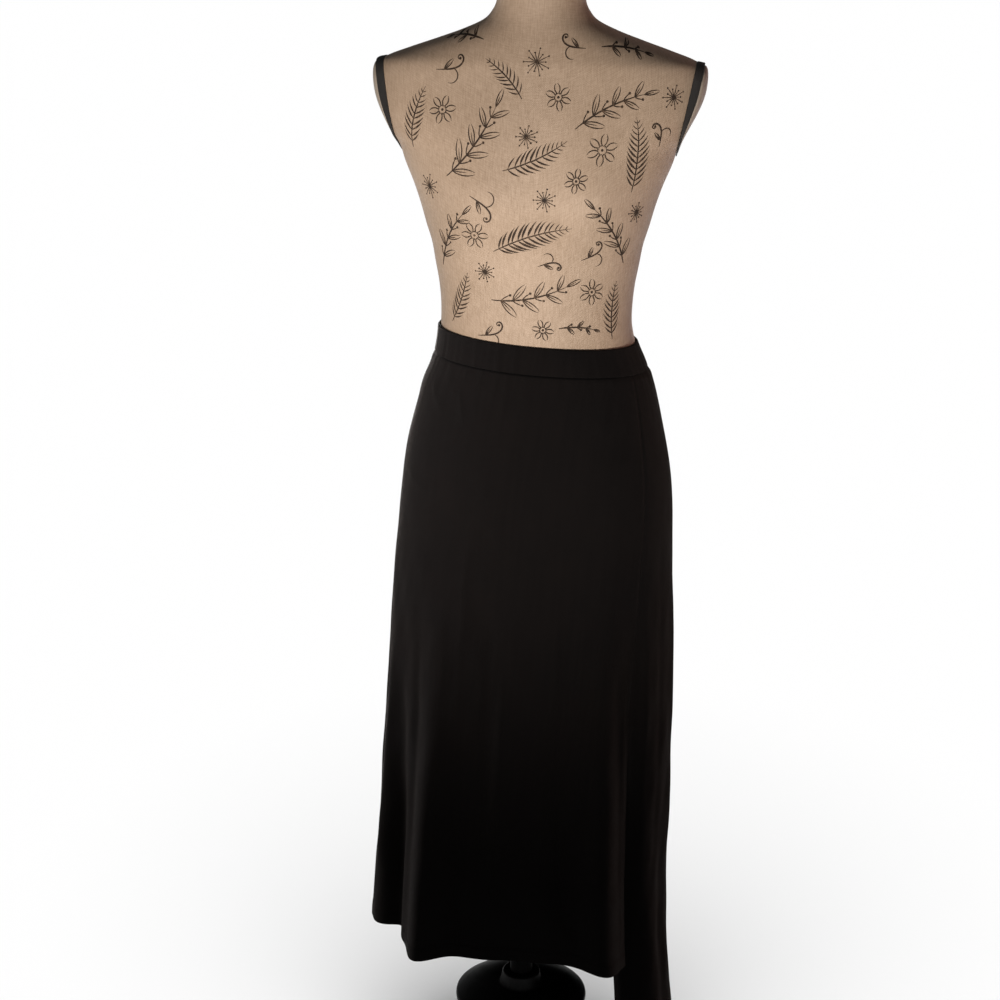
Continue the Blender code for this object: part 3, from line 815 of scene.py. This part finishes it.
def cut_shoulder(bm, side):
    """Cuts the form off at an arm plane, closes it, and returns the cut's outline in order."""
    point, direction = arm_plane(side)
    shoulder = [
        face
        for face in bm.faces
        if min(vert.co.z for vert in face.verts) > ARM_CUT_BOTTOM
        and max(side * vert.co.x for vert in face.verts) > ARM_REACH - SHOULDER_DEEP
    ]
    edges = dict.fromkeys(edge for face in shoulder for edge in face.edges)
    verts = dict.fromkeys(vert for edge in edges for vert in edge.verts)
    near = [*verts, *edges, *shoulder]
    cut = bmesh.ops.bisect_plane(bm, geom=near, plane_co=point, plane_no=direction, clear_outer=True)
    edges = [item for item in cut["geom_cut"] if isinstance(item, bmesh.types.BMEdge)]
    bmesh.ops.contextual_create(bm, geom=edges)
    outline = [vert.co.copy() for vert in dict.fromkeys(vert for edge in edges for vert in edge.verts)]
    centre = sum(outline, Vector()) / len(outline)
    across = Vector((0, 1, 0))
    up = direction.cross(across)
    outline.sort(key=lambda co: math.atan2((co - centre).dot(up), (co - centre).dot(across)))
    return outline


def make_form(finish):
    """The linen cover of the form. Returns the outlines of its two shoulder ends."""
    turns = 90 - 360 * (1 - np.arange(COVER_COLUMNS) / COVER_COLUMNS)
    turn, height = np.meshgrid(turns, cover_heights())
    grid = torso_point(turn, height, form_relief(turn, height))
    faces, uv = grid_mesh(grid, True, (0.0, 0.5, 1.0))
    points = grid.reshape(-1, 3)
    ring = np.arange(COVER_COLUMNS)
    caps = [ring.tolist(), (len(points) - 1 - ring).tolist()]
    cap_uv = points[np.concatenate(caps)][:, :2]
    outlines = {}

    def cut(bm):
        for side in (1, -1):
            outlines[side] = cut_shoulder(bm, side)
        bmesh.ops.recalc_face_normals(bm, faces=bm.faces)

    uv = np.concatenate([uv.reshape(-1, 2), cap_uv])
    mesh_piece("form_cover", points, [*faces.tolist(), *caps], finish, "form_torso", uv, cut)
    return outlines


def stacked(outline, direction, gap, levels):
    """Points and faces of a solid of rings on an outline: each level is its distance out and its size.

    All but the gap shrinks towards the underarm, where the pieces thin out.
    """
    centre = sum(outline, Vector()) / len(outline)

    def moved(co, out, size):
        flat = centre + (co - centre) * size
        grown = float(smooth_step((flat.z - UNDERARM) / (ARM_HEIGHT - UNDERARM)))
        share = UNDERARM_SHARE + (1 - UNDERARM_SHARE) * grown
        return flat + direction * (gap + out * share)

    points = [moved(co, out, size) for out, size in levels for co in outline]
    return points, tube_faces(1, len(levels), len(outline))


def make_arm_pieces(side, outline, linen, tape):
    """The black tape round a shoulder's end, and the domed plate that closes it."""
    name = "left" if side > 0 else "right"
    _, direction = arm_plane(side)
    levels = [(0.0, TAPE_EDGE_SIZE)]
    for k in range(TAPE_STEPS + 1):
        angle = math.pi * k / TAPE_STEPS
        back = math.copysign(abs(math.cos(angle)) ** ROUNDING, math.cos(angle))
        levels.append((TAPE_WIDE / 2 * (1 - back), 1.0 + TAPE_BULGE * math.sin(angle) ** 0.5))
    levels.append((TAPE_WIDE, TAPE_EDGE_SIZE))
    points, faces = stacked(outline, direction, PIECE_GAP, levels)
    node_name = f"form_arm_tape_{name}"
    mesh_piece(f"{node_name}_woven", points, faces, tape, node_name)
    levels = [(TAPE_WIDE, PLATE_SIZE)]
    for ring in range(PLATE_RINGS):
        angle = math.radians(90) * (ring + 0.4) / (PLATE_RINGS - 0.2)
        levels.append((TAPE_WIDE + PLATE_DOME * math.sin(angle), PLATE_SIZE * math.cos(angle) ** ROUNDING))
    points, faces = stacked(outline, direction, 2 * PIECE_GAP, levels)
    uv = [(points[corner][1], points[corner][2]) for face in faces for corner in face]
    node_name = f"form_arm_plate_{name}"
    mesh_piece(f"{node_name}_cover", points, faces, linen, node_name, uv)


# The printed ornament: ferns, leafy twigs, tendrils, blossoms and seed heads, drawn on the form's flat linen


INK_RISE = 0.00025
INK_SINK = 0.0003
STEM_WIDE = 0.0021
FINE_WIDE = 0.0014
DOT_RADIUS = 0.0016
FERN_PITCH = 0.0072
TWIG_PITCH = 0.0145
STEM_POINTS = 40

# Place across from the middle and height, direction in degrees, size, and bend in radians
FRONT_PRINT = named_rows(Motif, "across height size", [
    ("tendril", -124, 1440, 2, 56, 1.1), ("twig", -66, 1476, 164, 50, 0.5),
    ("fern", -158, 1346, 84, 78, -0.4), ("blossom", -112, 1394, 10, 16, 0),
    ("twig", -106, 1316, 40, 104, 0.5), ("fern", -14, 1409, 122, 66, 0.5), ("seeds", 2, 1452, 0, 16, 0),
    ("tendril", 62, 1468, 176, 48, -1.1), ("blossom", 30, 1412, 40, 15, 0),
    ("twig", 52, 1376, 40, 92, -0.5), ("twig", 80, 1470, 4, 56, -0.4), ("seeds", 172, 1412, 0, 14, 0),
    ("fern", 128, 1300, 80, 90, 0.4), ("tendril", 160, 1352, 88, 46, 1.1), ("fern", -34, 1326, 14, 86, 0.4),
    ("blossom", 86, 1352, 20, 18, 0), ("seeds", -6, 1366, 0, 13, 0), ("seeds", -136, 1300, 0, 15, 0),
    ("tendril", -76, 1296, -30, 60, -1.1), ("twig", -128, 1196, 74, 86, -0.5),
    ("blossom", -70, 1244, 0, 17, 0), ("seeds", 18, 1292, 0, 14, 0), ("fern", -46, 1224, 30, 104, -0.4),
    ("twig", 124, 1206, 106, 88, 0.5), ("tendril", 62, 1214, 20, 52, 1.1), ("blossom", 56, 1316, 20, 14, 0),
    ("fern", -112, 1124, 56, 74, 0.4), ("seeds", -58, 1196, 0, 13, 0), ("twig", -50, 1160, -2, 98, 0.5),
    ("tendril", 8, 1206, 20, 44, -1.1), ("blossom", 78, 1172, 30, 16, 0), ("fern", 110, 1108, 98, 76, -0.4),
    ("tendril", -70, 1112, 6, 56, 1.1), ("blossom", 16, 1124, 50, 13, 0), ("twig", 36, 1126, 10, 46, -0.5),
    ("seeds", 140, 1272, 0, 13, 0),
])
BACK_PRINT = named_rows(Motif, "across height size", [
    ("fern", -130, 1346, 80, 88, 0.4), ("blossom", -76, 1426, 10, 17, 0), ("twig", -60, 1340, 34, 98, 0.5),
    ("seeds", -100, 1320, 0, 15, 0), ("tendril", -10, 1440, 20, 56, -1.1),
    ("fern", 108, 1336, 84, 88, -0.4), ("seeds", 66, 1440, 0, 15, 0), ("twig", -120, 1216, 70, 90, -0.5),
    ("blossom", -28, 1306, 0, 17, 0), ("fern", -24, 1248, 28, 98, 0.4),
    ("tendril", -80, 1226, -16, 56, 1.1), ("seeds", 108, 1270, 0, 15, 0), ("blossom", 36, 1346, 20, 15, 0),
    ("twig", -10, 1186, 14, 96, 0.5), ("fern", -94, 1126, 50, 80, 0.4), ("blossom", -18, 1142, 30, 15, 0),
    ("tendril", 30, 1136, 10, 54, -1.1), ("fern", 108, 1122, 96, 74, 0.3),
])


def form_face(across, height, out, facing):
    """Points of the form's surface that far across from the middle of its front (facing -1) or back (1)."""
    steps = np.linspace(0, 90, 61)
    section = section_at(TORSO, height)
    side = np.where(across < 0, -1.0, 1.0)
    turns = facing * 90 - facing * side[:, None] * steps
    row = Section(*(np.asarray(size)[:, None] for size in section))
    lengths = lengths_along(oval(row, turns), 1)
    step = np.array([np.interp(abs(a), line, steps) for a, line in zip(across, lengths)])
    return torso_point(facing * 90 - facing * side * step, height, out)


def ink_stroke(line, wide, facing):
    """A closed thin strip along a line on the flat linen, as rings of four points. wide gives its widths."""
    along = unit(np.gradient(line, axis=0))
    side = np.stack([-along[:, 1], along[:, 0]], axis=1) * wide[:, None] / 2
    corners = ((side, -INK_SINK), (side, INK_RISE), (-side, INK_RISE), (-side, -INK_SINK))
    rings = np.stack([form_face(*(line + off).T, out, facing) for off, out in corners], axis=1)
    return rings if facing < 0 else rings[:, ::-1]


def bent_line(start, angle, length, bend, count):
    """Points of a line that starts in a direction and bends steadily, by bend radians in all."""
    s = np.linspace(0, 1, count)
    heading = angle + bend * s
    step = length / (count - 1)
    moves = np.stack([np.cos(heading), np.sin(heading)], axis=1) * step
    return np.asarray(start) + np.concatenate([[[0, 0]], moves[:-1].cumsum(axis=0)]), heading


def tapered(count, wide, start=0.45, end=0.25):
    s = np.linspace(0, 1, count)
    return wide * (np.minimum(1, start + 3 * s) * np.minimum(1, end + 2.2 * (1 - s)))


def leaf_wide(count, wide):
    s = np.linspace(0, 1, count)
    return wide * np.maximum(np.sin(math.pi * s ** 0.8), 0.06)


def drawn_line(start, angle, length, bend, wide, count=12):
    """A tapered stroke: its line on the flat linen and its width along it."""
    return bent_line(start, angle, length, bend, count)[0], tapered(count, wide)


def dot(centre, radius):
    """A stroke as wide as it is long, with round ends."""
    s = np.linspace(-0.98, 0.98, 8)
    line = np.stack([centre[0] + radius * s, np.full(8, centre[1])], axis=1)
    return line, 2 * radius * np.sqrt(np.maximum(1 - s * s, 0.02))


def open_leaf(start, angle, length, spread):
    """A leaf in outline: two curved sides that meet at the tip, and a short midrib."""
    sides = [
        drawn_line(start, angle + side * spread, length, -2 * side * spread, FINE_WIDE) for side in (1, -1)
    ]
    return [*sides, drawn_line(start, angle, length * 0.62, 0.0, FINE_WIDE * 0.8, 6)]


def fern(motif, start, angle):
    """A bent stem with many narrow leaflets in pairs, longest below the middle."""
    line, heading = bent_line(start, angle, motif.size, motif.bend, STEM_POINTS)
    strokes = [(line, tapered(STEM_POINTS, STEM_WIDE * 0.8))]
    pairs = int(motif.size / FERN_PITCH)
    for k in range(pairs):
        share = (k + 1.2) / (pairs + 1.2)
        at = int(share * (STEM_POINTS - 1))
        length = motif.size * 0.25 * math.sin(math.pi * (0.12 + 0.84 * share) ** 0.75)
        for side in (1, -1):
            leaflet, _ = bent_line(line[at], heading[at] + side * 1.0, length, -side * 0.55, 9)
            strokes.append((leaflet, leaf_wide(9, max(0.0011, length * 0.115))))
    return strokes


def twig(motif, start, angle):
    """A bent stem with leaves to each side in turn, one at its tip, and berries on stalks between them."""
    line, heading = bent_line(start, angle, motif.size, motif.bend, STEM_POINTS)
    strokes = [(line, tapered(STEM_POINTS, STEM_WIDE))]
    leaves = int(motif.size / TWIG_PITCH)
    for k in range(leaves):
        share = (k + 0.9) / (leaves + 0.7)
        at = int(share * (STEM_POINTS - 1))
        side = 1 if k % 2 else -1
        length = motif.size * (0.31 - 0.09 * share)
        strokes += open_leaf(line[at], heading[at] + side * 0.8, length, 0.42)
        stalk = drawn_line(line[at], heading[at] - side * 0.75, length * 0.5, side * 0.5, FINE_WIDE, 7)
        strokes += [stalk, dot(stalk[0][-1], DOT_RADIUS)]
    return strokes + open_leaf(line[-1], heading[-1], motif.size * 0.22, 0.38)


def tendril(motif, start, angle):
    """A long stroke that winds into a curl, with a smaller curl that branches off and a leaf."""
    count = 48
    s = np.linspace(0, 1, count)
    heading = angle + motif.bend * math.tau * s ** 3.0
    step = motif.size * 1.5 * (1.0 - 0.64 * s) / count
    moves = np.stack([np.cos(heading), np.sin(heading)], axis=1) * step[:, None]
    line = start + moves.cumsum(axis=0)
    turning = math.copysign(1.0, motif.bend)
    strokes = [(line, tapered(count, STEM_WIDE, 0.3)), dot(line[-1], DOT_RADIUS)]
    bend = -turning * 3.2
    strokes.append(drawn_line(line[14], heading[14] - turning * 0.6, motif.size * 0.5, bend, FINE_WIDE, 24))
    return strokes + open_leaf(line[6], heading[6] + turning * 0.8, motif.size * 0.30, 0.4)


def blossom(motif, start, angle):
    """An open blossom: six petals in outline round a ring of dots."""
    strokes = [dot(start, DOT_RADIUS)]
    for k in range(6):
        way = angle + math.tau * k / 6
        ahead = np.array([math.cos(way), math.sin(way)])
        root = start + ahead * motif.size * 0.26
        for side in (1, -1):
            strokes.append(drawn_line(root, way + side * 0.85, motif.size * 0.92, -1.7 * side, FINE_WIDE))
        between = way + math.pi / 6
        middle = start + np.array([math.cos(between), math.sin(between)]) * motif.size * 0.30
        strokes.append(dot(middle, DOT_RADIUS * 0.6))
    return strokes


def seeds(motif, start, angle):
    """A seed head: fine rays that end in dots, in two lengths by turns."""
    strokes = [dot(start, DOT_RADIUS * 1.2)]
    for k in range(14):
        way = angle + math.tau * k / 14
        reach = motif.size * (1.0 if k % 2 else 0.68)
        ray = drawn_line(start, way, reach, 0.0, FINE_WIDE * 0.75, 5)
        strokes += [ray, dot(ray[0][-1], DOT_RADIUS * 0.65)]
    return strokes


def make_print(finish):
    """The printed ornament, as thin raised ink."""
    kinds = {"fern": fern, "twig": twig, "tendril": tendril, "blossom": blossom, "seeds": seeds}
    points, faces = [], []
    for facing, motifs in ((-1, FRONT_PRINT), (1, BACK_PRINT)):
        for motif in motifs:
            start = np.array([motif.across, motif.height])
            for line, wide in kinds[motif.kind](motif, start, math.radians(motif.angle)):
                rings = ink_stroke(line, wide, facing)
                first = len(points)
                points += rings.reshape(-1, 3).tolist()
                faces += [tuple(first + k for k in face) for face in tube_faces(1, len(rings), 4)]
    mesh_piece("form_print", points, faces, finish)


# The skirt


# Where the columns of a panel's grid lie beside its two edges, and where the rows of its upper part and of
# the part beside the slit lie, all as shares. They are closer together at the edges, the waistband and the
# hem.
EDGE_SHARES = np.array([0.0, 0.0012, 0.0026, 0.0042, 0.006, 0.009, 0.013, 0.018, 0.0235, 0.026, 0.030])
TOP_SHARES = np.concatenate([np.linspace(0, 0.022, 9)[:-1], np.linspace(0.022, 1, 102)])
LOW_SHARES = np.concatenate([np.linspace(0, 0.92, 92)[1:-1], np.linspace(0.92, 1, 34)])


def panel_grid(panel):
    """Turns and heights of a panel's grid: level down to the slit's top, and from there on to the hem."""
    middle = np.linspace(0.034, 0.966, panel.columns - 2 * len(EDGE_SHARES))
    across = np.unique(np.concatenate([EDGE_SHARES, middle, 1 - EDGE_SHARES]))
    height = np.full((len(TOP_SHARES) + len(LOW_SHARES), len(across)), SLIT_TOP)
    for _ in range(SEAM_ROUNDS):
        turn = panel_turn(panel, height, across)
        top = band_top(turn[: len(TOP_SHARES)]) - BAND_HEIGHT + BAND_TUCK
        hem = mark_at(panel.hem, turn[len(TOP_SHARES):])
        upper = top + (SLIT_TOP - top) * TOP_SHARES[:, None]
        height = np.concatenate([upper, SLIT_TOP + (hem - SLIT_TOP) * LOW_SHARES[:, None]])
    return panel_turn(panel, height, across), height


def make_panel(panel, finish, node_name):
    """A panel of the skirt: an open cloth wall from one edge to the other, thickened inwards."""
    grid = skirt_point(panel, *panel_grid(panel))
    faces, uv = grid_mesh(grid, False)
    obj = mesh_piece(panel.name, grid.reshape(-1, 3), faces, finish, node_name, uv)
    wall = obj.modifiers.new("Cloth", "SOLIDIFY")
    wall.thickness = CLOTH_THICK
    wall.offset = -1
    wall.use_even_offset = True


def band_section():
    """The waistband's closed cross-section: how far out and how far up each of its points lies."""
    half = BAND_THICK / 2
    tall = BAND_HEIGHT - half - BAND_EDGE
    face = [(BAND_THICK, -half - tall * k / BAND_FACE_STEPS) for k in range(BAND_FACE_STEPS + 1)]
    bend = np.linspace(0, math.pi, 6)[1:-1]
    low = [(half * (1 + math.cos(a)), -BAND_HEIGHT + BAND_EDGE * (1 - math.sin(a))) for a in bend]
    high = [(half * (1 - math.cos(a)), -half * (1 - math.sin(a))) for a in bend]
    return [*face, *low, *((0.0, up) for _, up in reversed(face)), *high]


def make_waistband(finish):
    """The waistband: a double layer round the form's waist, with a rolled upper edge."""
    turn = 360 * np.arange(BAND_COLUMNS) / BAND_COLUMNS
    rows = []
    for out, up in band_section():
        share = out / BAND_THICK
        depth = -up / BAND_HEIGHT
        swell = BAND_SWELL * math.sin(math.pi * min(max(depth, 0), 1))
        pucker = BAND_GATHER_DEPTH * gathers(turn + BAND_GATHER_SHIFT)
        relief = (swell + pucker * (BAND_GATHER_TOP + (1 - BAND_GATHER_TOP) * depth)) * share
        rows.append(torso_point(turn, band_top(turn) + up, BAND_CLEARANCE + out + relief))
    grid = np.stack([*rows, rows[0]])
    faces, uv = grid_mesh(grid, True)
    points = grid[:-1].reshape(-1, 3)
    faces = faces % len(points)
    obj = mesh_piece("skirt_waistband_cloth", points, faces, finish, "skirt_waistband", uv)


def stitch_line(panel, turn, height):
    """Centres, directions and outward normals of the stitches along a line on a panel."""
    points = skirt_point(panel, turn, height)
    lengths = lengths_along(points, 0)
    places = np.arange(STITCH_PITCH / 2, lengths[-1], STITCH_PITCH)
    turn, height = np.interp(places, lengths, turn), np.interp(places, lengths, height)
    centre = skirt_point(panel, turn, height)
    ahead = np.stack([np.interp(places + NEAR, lengths, axis) for axis in points.T], axis=1) - centre
    across = skirt_point(panel, turn + NEAR_TURN, height) - skirt_point(panel, turn - NEAR_TURN, height)
    up = skirt_point(panel, turn, height + NEAR / 2) - skirt_point(panel, turn, height - NEAR / 2)
    return centre, unit(ahead), unit(np.cross(across, up))


def stitches(name, lines, finish):
    """Small spindles of thread, half sunk in the cloth, one for each stitch."""
    centre, ahead, normal = (np.concatenate(part) for part in zip(*lines))
    side = np.cross(ahead, normal)
    rings = []
    for along, size in STITCH_RINGS:
        middle = centre + ahead * along * STITCH_LENGTH
        angles = [math.tau * k / STITCH_SIDES for k in range(STITCH_SIDES)]
        offs = [side * math.cos(angle) + normal * math.sin(angle) for angle in angles]
        rings.append(np.stack([middle + off * STITCH_RADIUS * size for off in offs], axis=1))
    points = np.stack(rings, axis=1).reshape(-1, 3)
    mesh_piece(name, points, tube_faces(len(centre), len(STITCH_RINGS), STITCH_SIDES), finish)


def hem_line(panel, up):
    """Turns and heights of a row of stitches that far above the hem."""
    span = np.linspace(0.005, 0.995, HEM_LINE_POINTS)
    height = np.full(len(span), mark_at(panel.hem, -90.0))
    for _ in range(SEAM_ROUNDS):
        turn = panel_turn(panel, height, span)
        height = mark_at(panel.hem, turn) + up
    return turn, height


def slit_line(panel, inside):
    """Turns and heights of a row of stitches that far inside the slit's edge."""
    edge = panel.high_edge if panel.slit_at_high else panel.low_edge
    low = mark_at(panel.hem, edge(np.array(HEM_BY_SLIT))) + SLIT_LINE_END
    height = np.linspace(SLIT_TOP - SLIT_LINE_START, low, SLIT_LINE_POINTS)
    _, degree = outward(section_at(SKIRT, height), edge(height))
    step = inside / degree
    return edge(height) + (-step if panel.slit_at_high else step), height


def make_skirt(band_finish, finish, thread):
    make_waistband(band_finish)
    make_panel(FRONT, finish, "skirt_front")
    make_panel(BACK, finish, "skirt_back")
    for name, panel in (("front", FRONT), ("back", BACK)):
        rows = [hem_line(panel, up) for up in HEM_STITCHES]
        stitches(f"skirt_{name}_hem_stitches", [stitch_line(panel, *row) for row in rows], thread)
        rows = [slit_line(panel, inside) for inside in FACING_STITCHES]
        stitches(f"skirt_{name}_slit_stitches", [stitch_line(panel, *row) for row in rows], thread)


# The stand


def turned(name, profile, height, finish, node_name):
    """A turned piece: a profile of radius and height, run down its outer side, and set at a height."""
    mesh = bpy.data.meshes.new(name)
    edges = [(k, k + 1) for k in range(len(profile) - 1)]
    mesh.from_pydata([(radius, 0, z) for radius, z in profile], edges, [])
    mesh.materials.append(finish)
    obj = bpy.data.objects.new(name, mesh)
    obj.location = (0, 0, height)
    screw = obj.modifiers.new("Turn", "SCREW")
    screw.steps = screw.render_steps = TURNED_STEPS
    screw.use_merge_vertices = True
    screw.merge_threshold = 0.00001
    screw.use_smooth_shade = True
    link_piece(obj, node_name)


def profile_of(top, arcs):
    """Points of radius and height down a turned piece: from its axis at the top, along each arc in turn."""
    points = [(0, top)]
    for arc in arcs:
        r0, z0 = points[-1]
        across, down = arc.radius - r0, arc.height - z0
        length = math.hypot(across, down)
        for k in range(1, arc.steps + 1):
            s = k / arc.steps
            rise = arc.bulge * 4 * s * (1 - s) / length
            points.append((r0 + across * s - down * rise, z0 + down * s + across * rise))
    return points


def make_stand(finish):
    """The turned base, and the pole with the flange that carries the form."""
    turned("stand_base_turned", profile_of(BASE_HEIGHT, BASE), 0, finish, "stand_base")
    pole_foot = BASE_HEIGHT + PIECE_GAP
    length = TORSO_BOTTOM - PIECE_GAP - pole_foot
    low = length - FLANGE_THICK
    pole = [
        Arc(FLANGE_RADIUS - FLANGE_EDGE, length, 0, 1),
        Arc(FLANGE_RADIUS, length - FLANGE_EDGE, 0.0002, 3),
        Arc(FLANGE_RADIUS, low + FLANGE_EDGE, 0, 1),
        Arc(FLANGE_RADIUS - FLANGE_EDGE, low, 0.0002, 3),
        Arc(POLE_RADIUS + 0.006, low - 0.002, 0, 2),
        Arc(POLE_RADIUS, low - FLANGE_NECK, -0.001, 8),
        Arc(POLE_RADIUS, 0, 0, 1),
        Arc(0, 0, 0, 1),
    ]
    turned("stand_pole_turned", profile_of(length, pole), pole_foot, finish, "stand_pole")


# Stage, camera and light


VIEW_TURN = math.radians(6.0)
VIEW_DOWN = math.radians(17.94)
VIEW_ROLL = math.radians(0.6)
VIEW_AWAY = 2.56
VIEW_ASIDE = 0.0376
VIEW_HEIGHT = 1.70
SENSOR = 36.0
LENS = 72.72
FLOOR_REACH = 60.0

# The backdrop: how much it lights the pieces from the sides, from above and from below, and the heights of
# direction between which that changes
SIDE_STRENGTH = 0.18
TOP_STRENGTH = 0.10
LOW_STRENGTH = 0.07
TOP_FADE = (0.08, 0.32)
LOW_FADE = (-0.12, -0.05)
BACKDROP = (1.0, 0.999, 0.998, 1)

KEY_PLACE = (-0.40, -2.47, 0.62)
KEY_AIM = (0, 0, 1.19)
KEY_POWER = 374
KEY_COLOUR = (1.0, 0.955, 0.91)
FLOOR_POWER = 3.25

# Round area lights: name, place, height of the aim, power, colour and diameter
SIDE_LIGHTS = [
    ("left_rim", (-1.8, 2.3, 1.1), 0.9, 16, (0.98, 0.99, 1.0), 0.9),
    ("right_rim", (1.8, 2.3, 1.1), 0.9, 14, (1.0, 0.94, 0.90), 0.9),
    ("warm_rim", (2.2, 0.9, 1.3), 1.1, 9, (1.0, 0.20, 0.07), 0.6),
    ("back_fill", (0.5, 2.6, 1.0), 0.9, 60, (1.0, 0.97, 0.94), 0.8),
]
CLOTH_LIGHTS = [
    ("black_left", (-2.5, 0.2, 1.6), 0.9, 76, (1.0, 0.99, 0.98), 0.8),
    ("black_right", (2.2, 1.5, 1.4), 0.9, 26, (1.0, 0.66, 0.54), 0.8),
    ("black_back", (-0.9, 2.6, 1.1), 0.9, 130, (1.0, 0.98, 0.96), 0.8),
]


def make_stage():
    """A wide pale floor, which is returned."""
    made, _, _ = new_finish("pale_floor", 1.0, Specular_IOR_Level=0.0, Base_Color=PALE_FLOOR)
    mesh = bpy.data.meshes.new("floor")
    corners = [(x * FLOOR_REACH, y * FLOOR_REACH, 0) for x, y in ((-1, -1), (1, -1), (1, 1), (-1, 1))]
    mesh.from_pydata(corners, [], [(0, 1, 2, 3)])
    mesh.materials.append(made)
    floor = bpy.data.objects.new("floor", mesh)
    bpy.context.scene.collection.objects.link(floor)
    floor.visible_diffuse = False
    return floor


def make_camera():
    right = Vector((math.cos(VIEW_TURN), math.sin(VIEW_TURN), 0))
    ahead = Vector((-math.sin(VIEW_TURN), math.cos(VIEW_TURN), 0))
    data = bpy.data.cameras.new("camera")
    data.sensor_width = SENSOR
    data.lens = LENS
    camera = bpy.data.objects.new("camera", data)
    place = Matrix.Translation(-ahead * VIEW_AWAY - right * VIEW_ASIDE + Vector((0, 0, VIEW_HEIGHT)))
    aim = Euler((math.radians(90) - VIEW_DOWN, 0, VIEW_TURN)).to_matrix().to_4x4()
    camera.matrix_world = place @ aim @ Matrix.Rotation(VIEW_ROLL, 4, "Z")
    bpy.context.scene.collection.objects.link(camera)
    bpy.context.scene.camera = camera


def lamp(name, kind, place, target, power, colour, **settings):
    data = bpy.data.lights.new(name, kind)
    data.energy = power
    data.color = colour
    for setting, value in settings.items():
        setattr(data, setting, value)
    light = bpy.data.objects.new(name, data)
    light.location = place
    light.rotation_euler = (Vector(target) - Vector(place)).to_track_quat("-Z", "Y").to_euler()
    bpy.context.scene.collection.objects.link(light)
    return light


def make_surround():
    """An even pale backdrop all round, which lights the pieces less than it shows, most from the sides."""
    world = bpy.data.worlds.new("surround")
    world.use_nodes = True
    tree = world.node_tree
    place = node(tree, "ShaderNodeTexCoord").outputs["Generated"]
    up = node(tree, "ShaderNodeSeparateXYZ", {0: place}).outputs["Z"]
    above = remapped(tree, up, *TOP_FADE, SIDE_STRENGTH, TOP_STRENGTH)
    below = remapped(tree, up, *LOW_FADE, LOW_STRENGTH, SIDE_STRENGTH)
    seen = node(tree, "ShaderNodeLightPath").outputs["Is Camera Ray"]
    strength = maths(tree, "MAXIMUM", maths(tree, "MINIMUM", above, below), seen)
    tree.links.new(strength, tree.nodes["Background"].inputs["Strength"])
    tree.nodes["Background"].inputs["Color"].default_value = BACKDROP
    bpy.context.scene.world = world
    bpy.context.scene.view_settings.view_transform = "Standard"


def link_light(light, pieces, state):
    """Lets a light reach these pieces alone (INCLUDE), or all but them (EXCLUDE)."""
    reach = bpy.data.collections.new(f"{light.name}_reach")
    light.light_linking.receiver_collection = reach
    for piece in pieces:
        reach.objects.link(piece)
    for item in reach.collection_objects:
        item.light_linking.link_state = state


def disk_lamp(name, place, aim, power, colour, size):
    return lamp(name, "AREA", place, (0, 0, aim), power, colour, shape="DISK", size=size)


def make_light(floor, cloth):
    """A soft key near the camera, weak lights at the sides and behind, and a wide light on the floor alone.

    Three more lights reach the black cloth alone, so that its folds can be seen from every side.
    """
    key = lamp("key", "SPOT", KEY_PLACE, KEY_AIM, KEY_POWER, KEY_COLOUR,
               shadow_soft_size=0.20, spot_size=math.radians(34), spot_blend=1.0)
    link_light(key, [floor], "EXCLUDE")
    for row in SIDE_LIGHTS:
        light = disk_lamp(*row)
        light.visible_glossy = False
        link_light(light, [floor], "EXCLUDE")
    for row in CLOTH_LIGHTS:
        link_light(disk_lamp(*row), cloth, "INCLUDE")
    above = lamp("floor_light", "SUN", (0, -2, 6), (0, 0, 0), FLOOR_POWER, (1, 1, 1), angle=math.radians(50))
    link_light(above, [floor], "INCLUDE")


def main():
    make_camera()
    linen = linen_finish("linen", *COVER_LINEN)
    plate_linen = linen_finish("plate_linen", *PLATE_LINEN)
    tape = tape_finish("black_tape")
    for side, outline in make_form(linen).items():
        make_arm_pieces(side, outline, plate_linen, tape)
    make_print(ink_finish("brown_ink"))
    jersey = jersey_finish("black_jersey", painted_shade_at_top=True)
    make_skirt(jersey_finish("black_band"), jersey, jersey_finish("black_thread"))
    make_stand(paint_finish("black_paint"))
    make_surround()
    cloth = [obj for obj in bpy.data.objects if obj.name.endswith(("_cloth", "_stitches"))]
    make_light(make_stage(), cloth)


main()
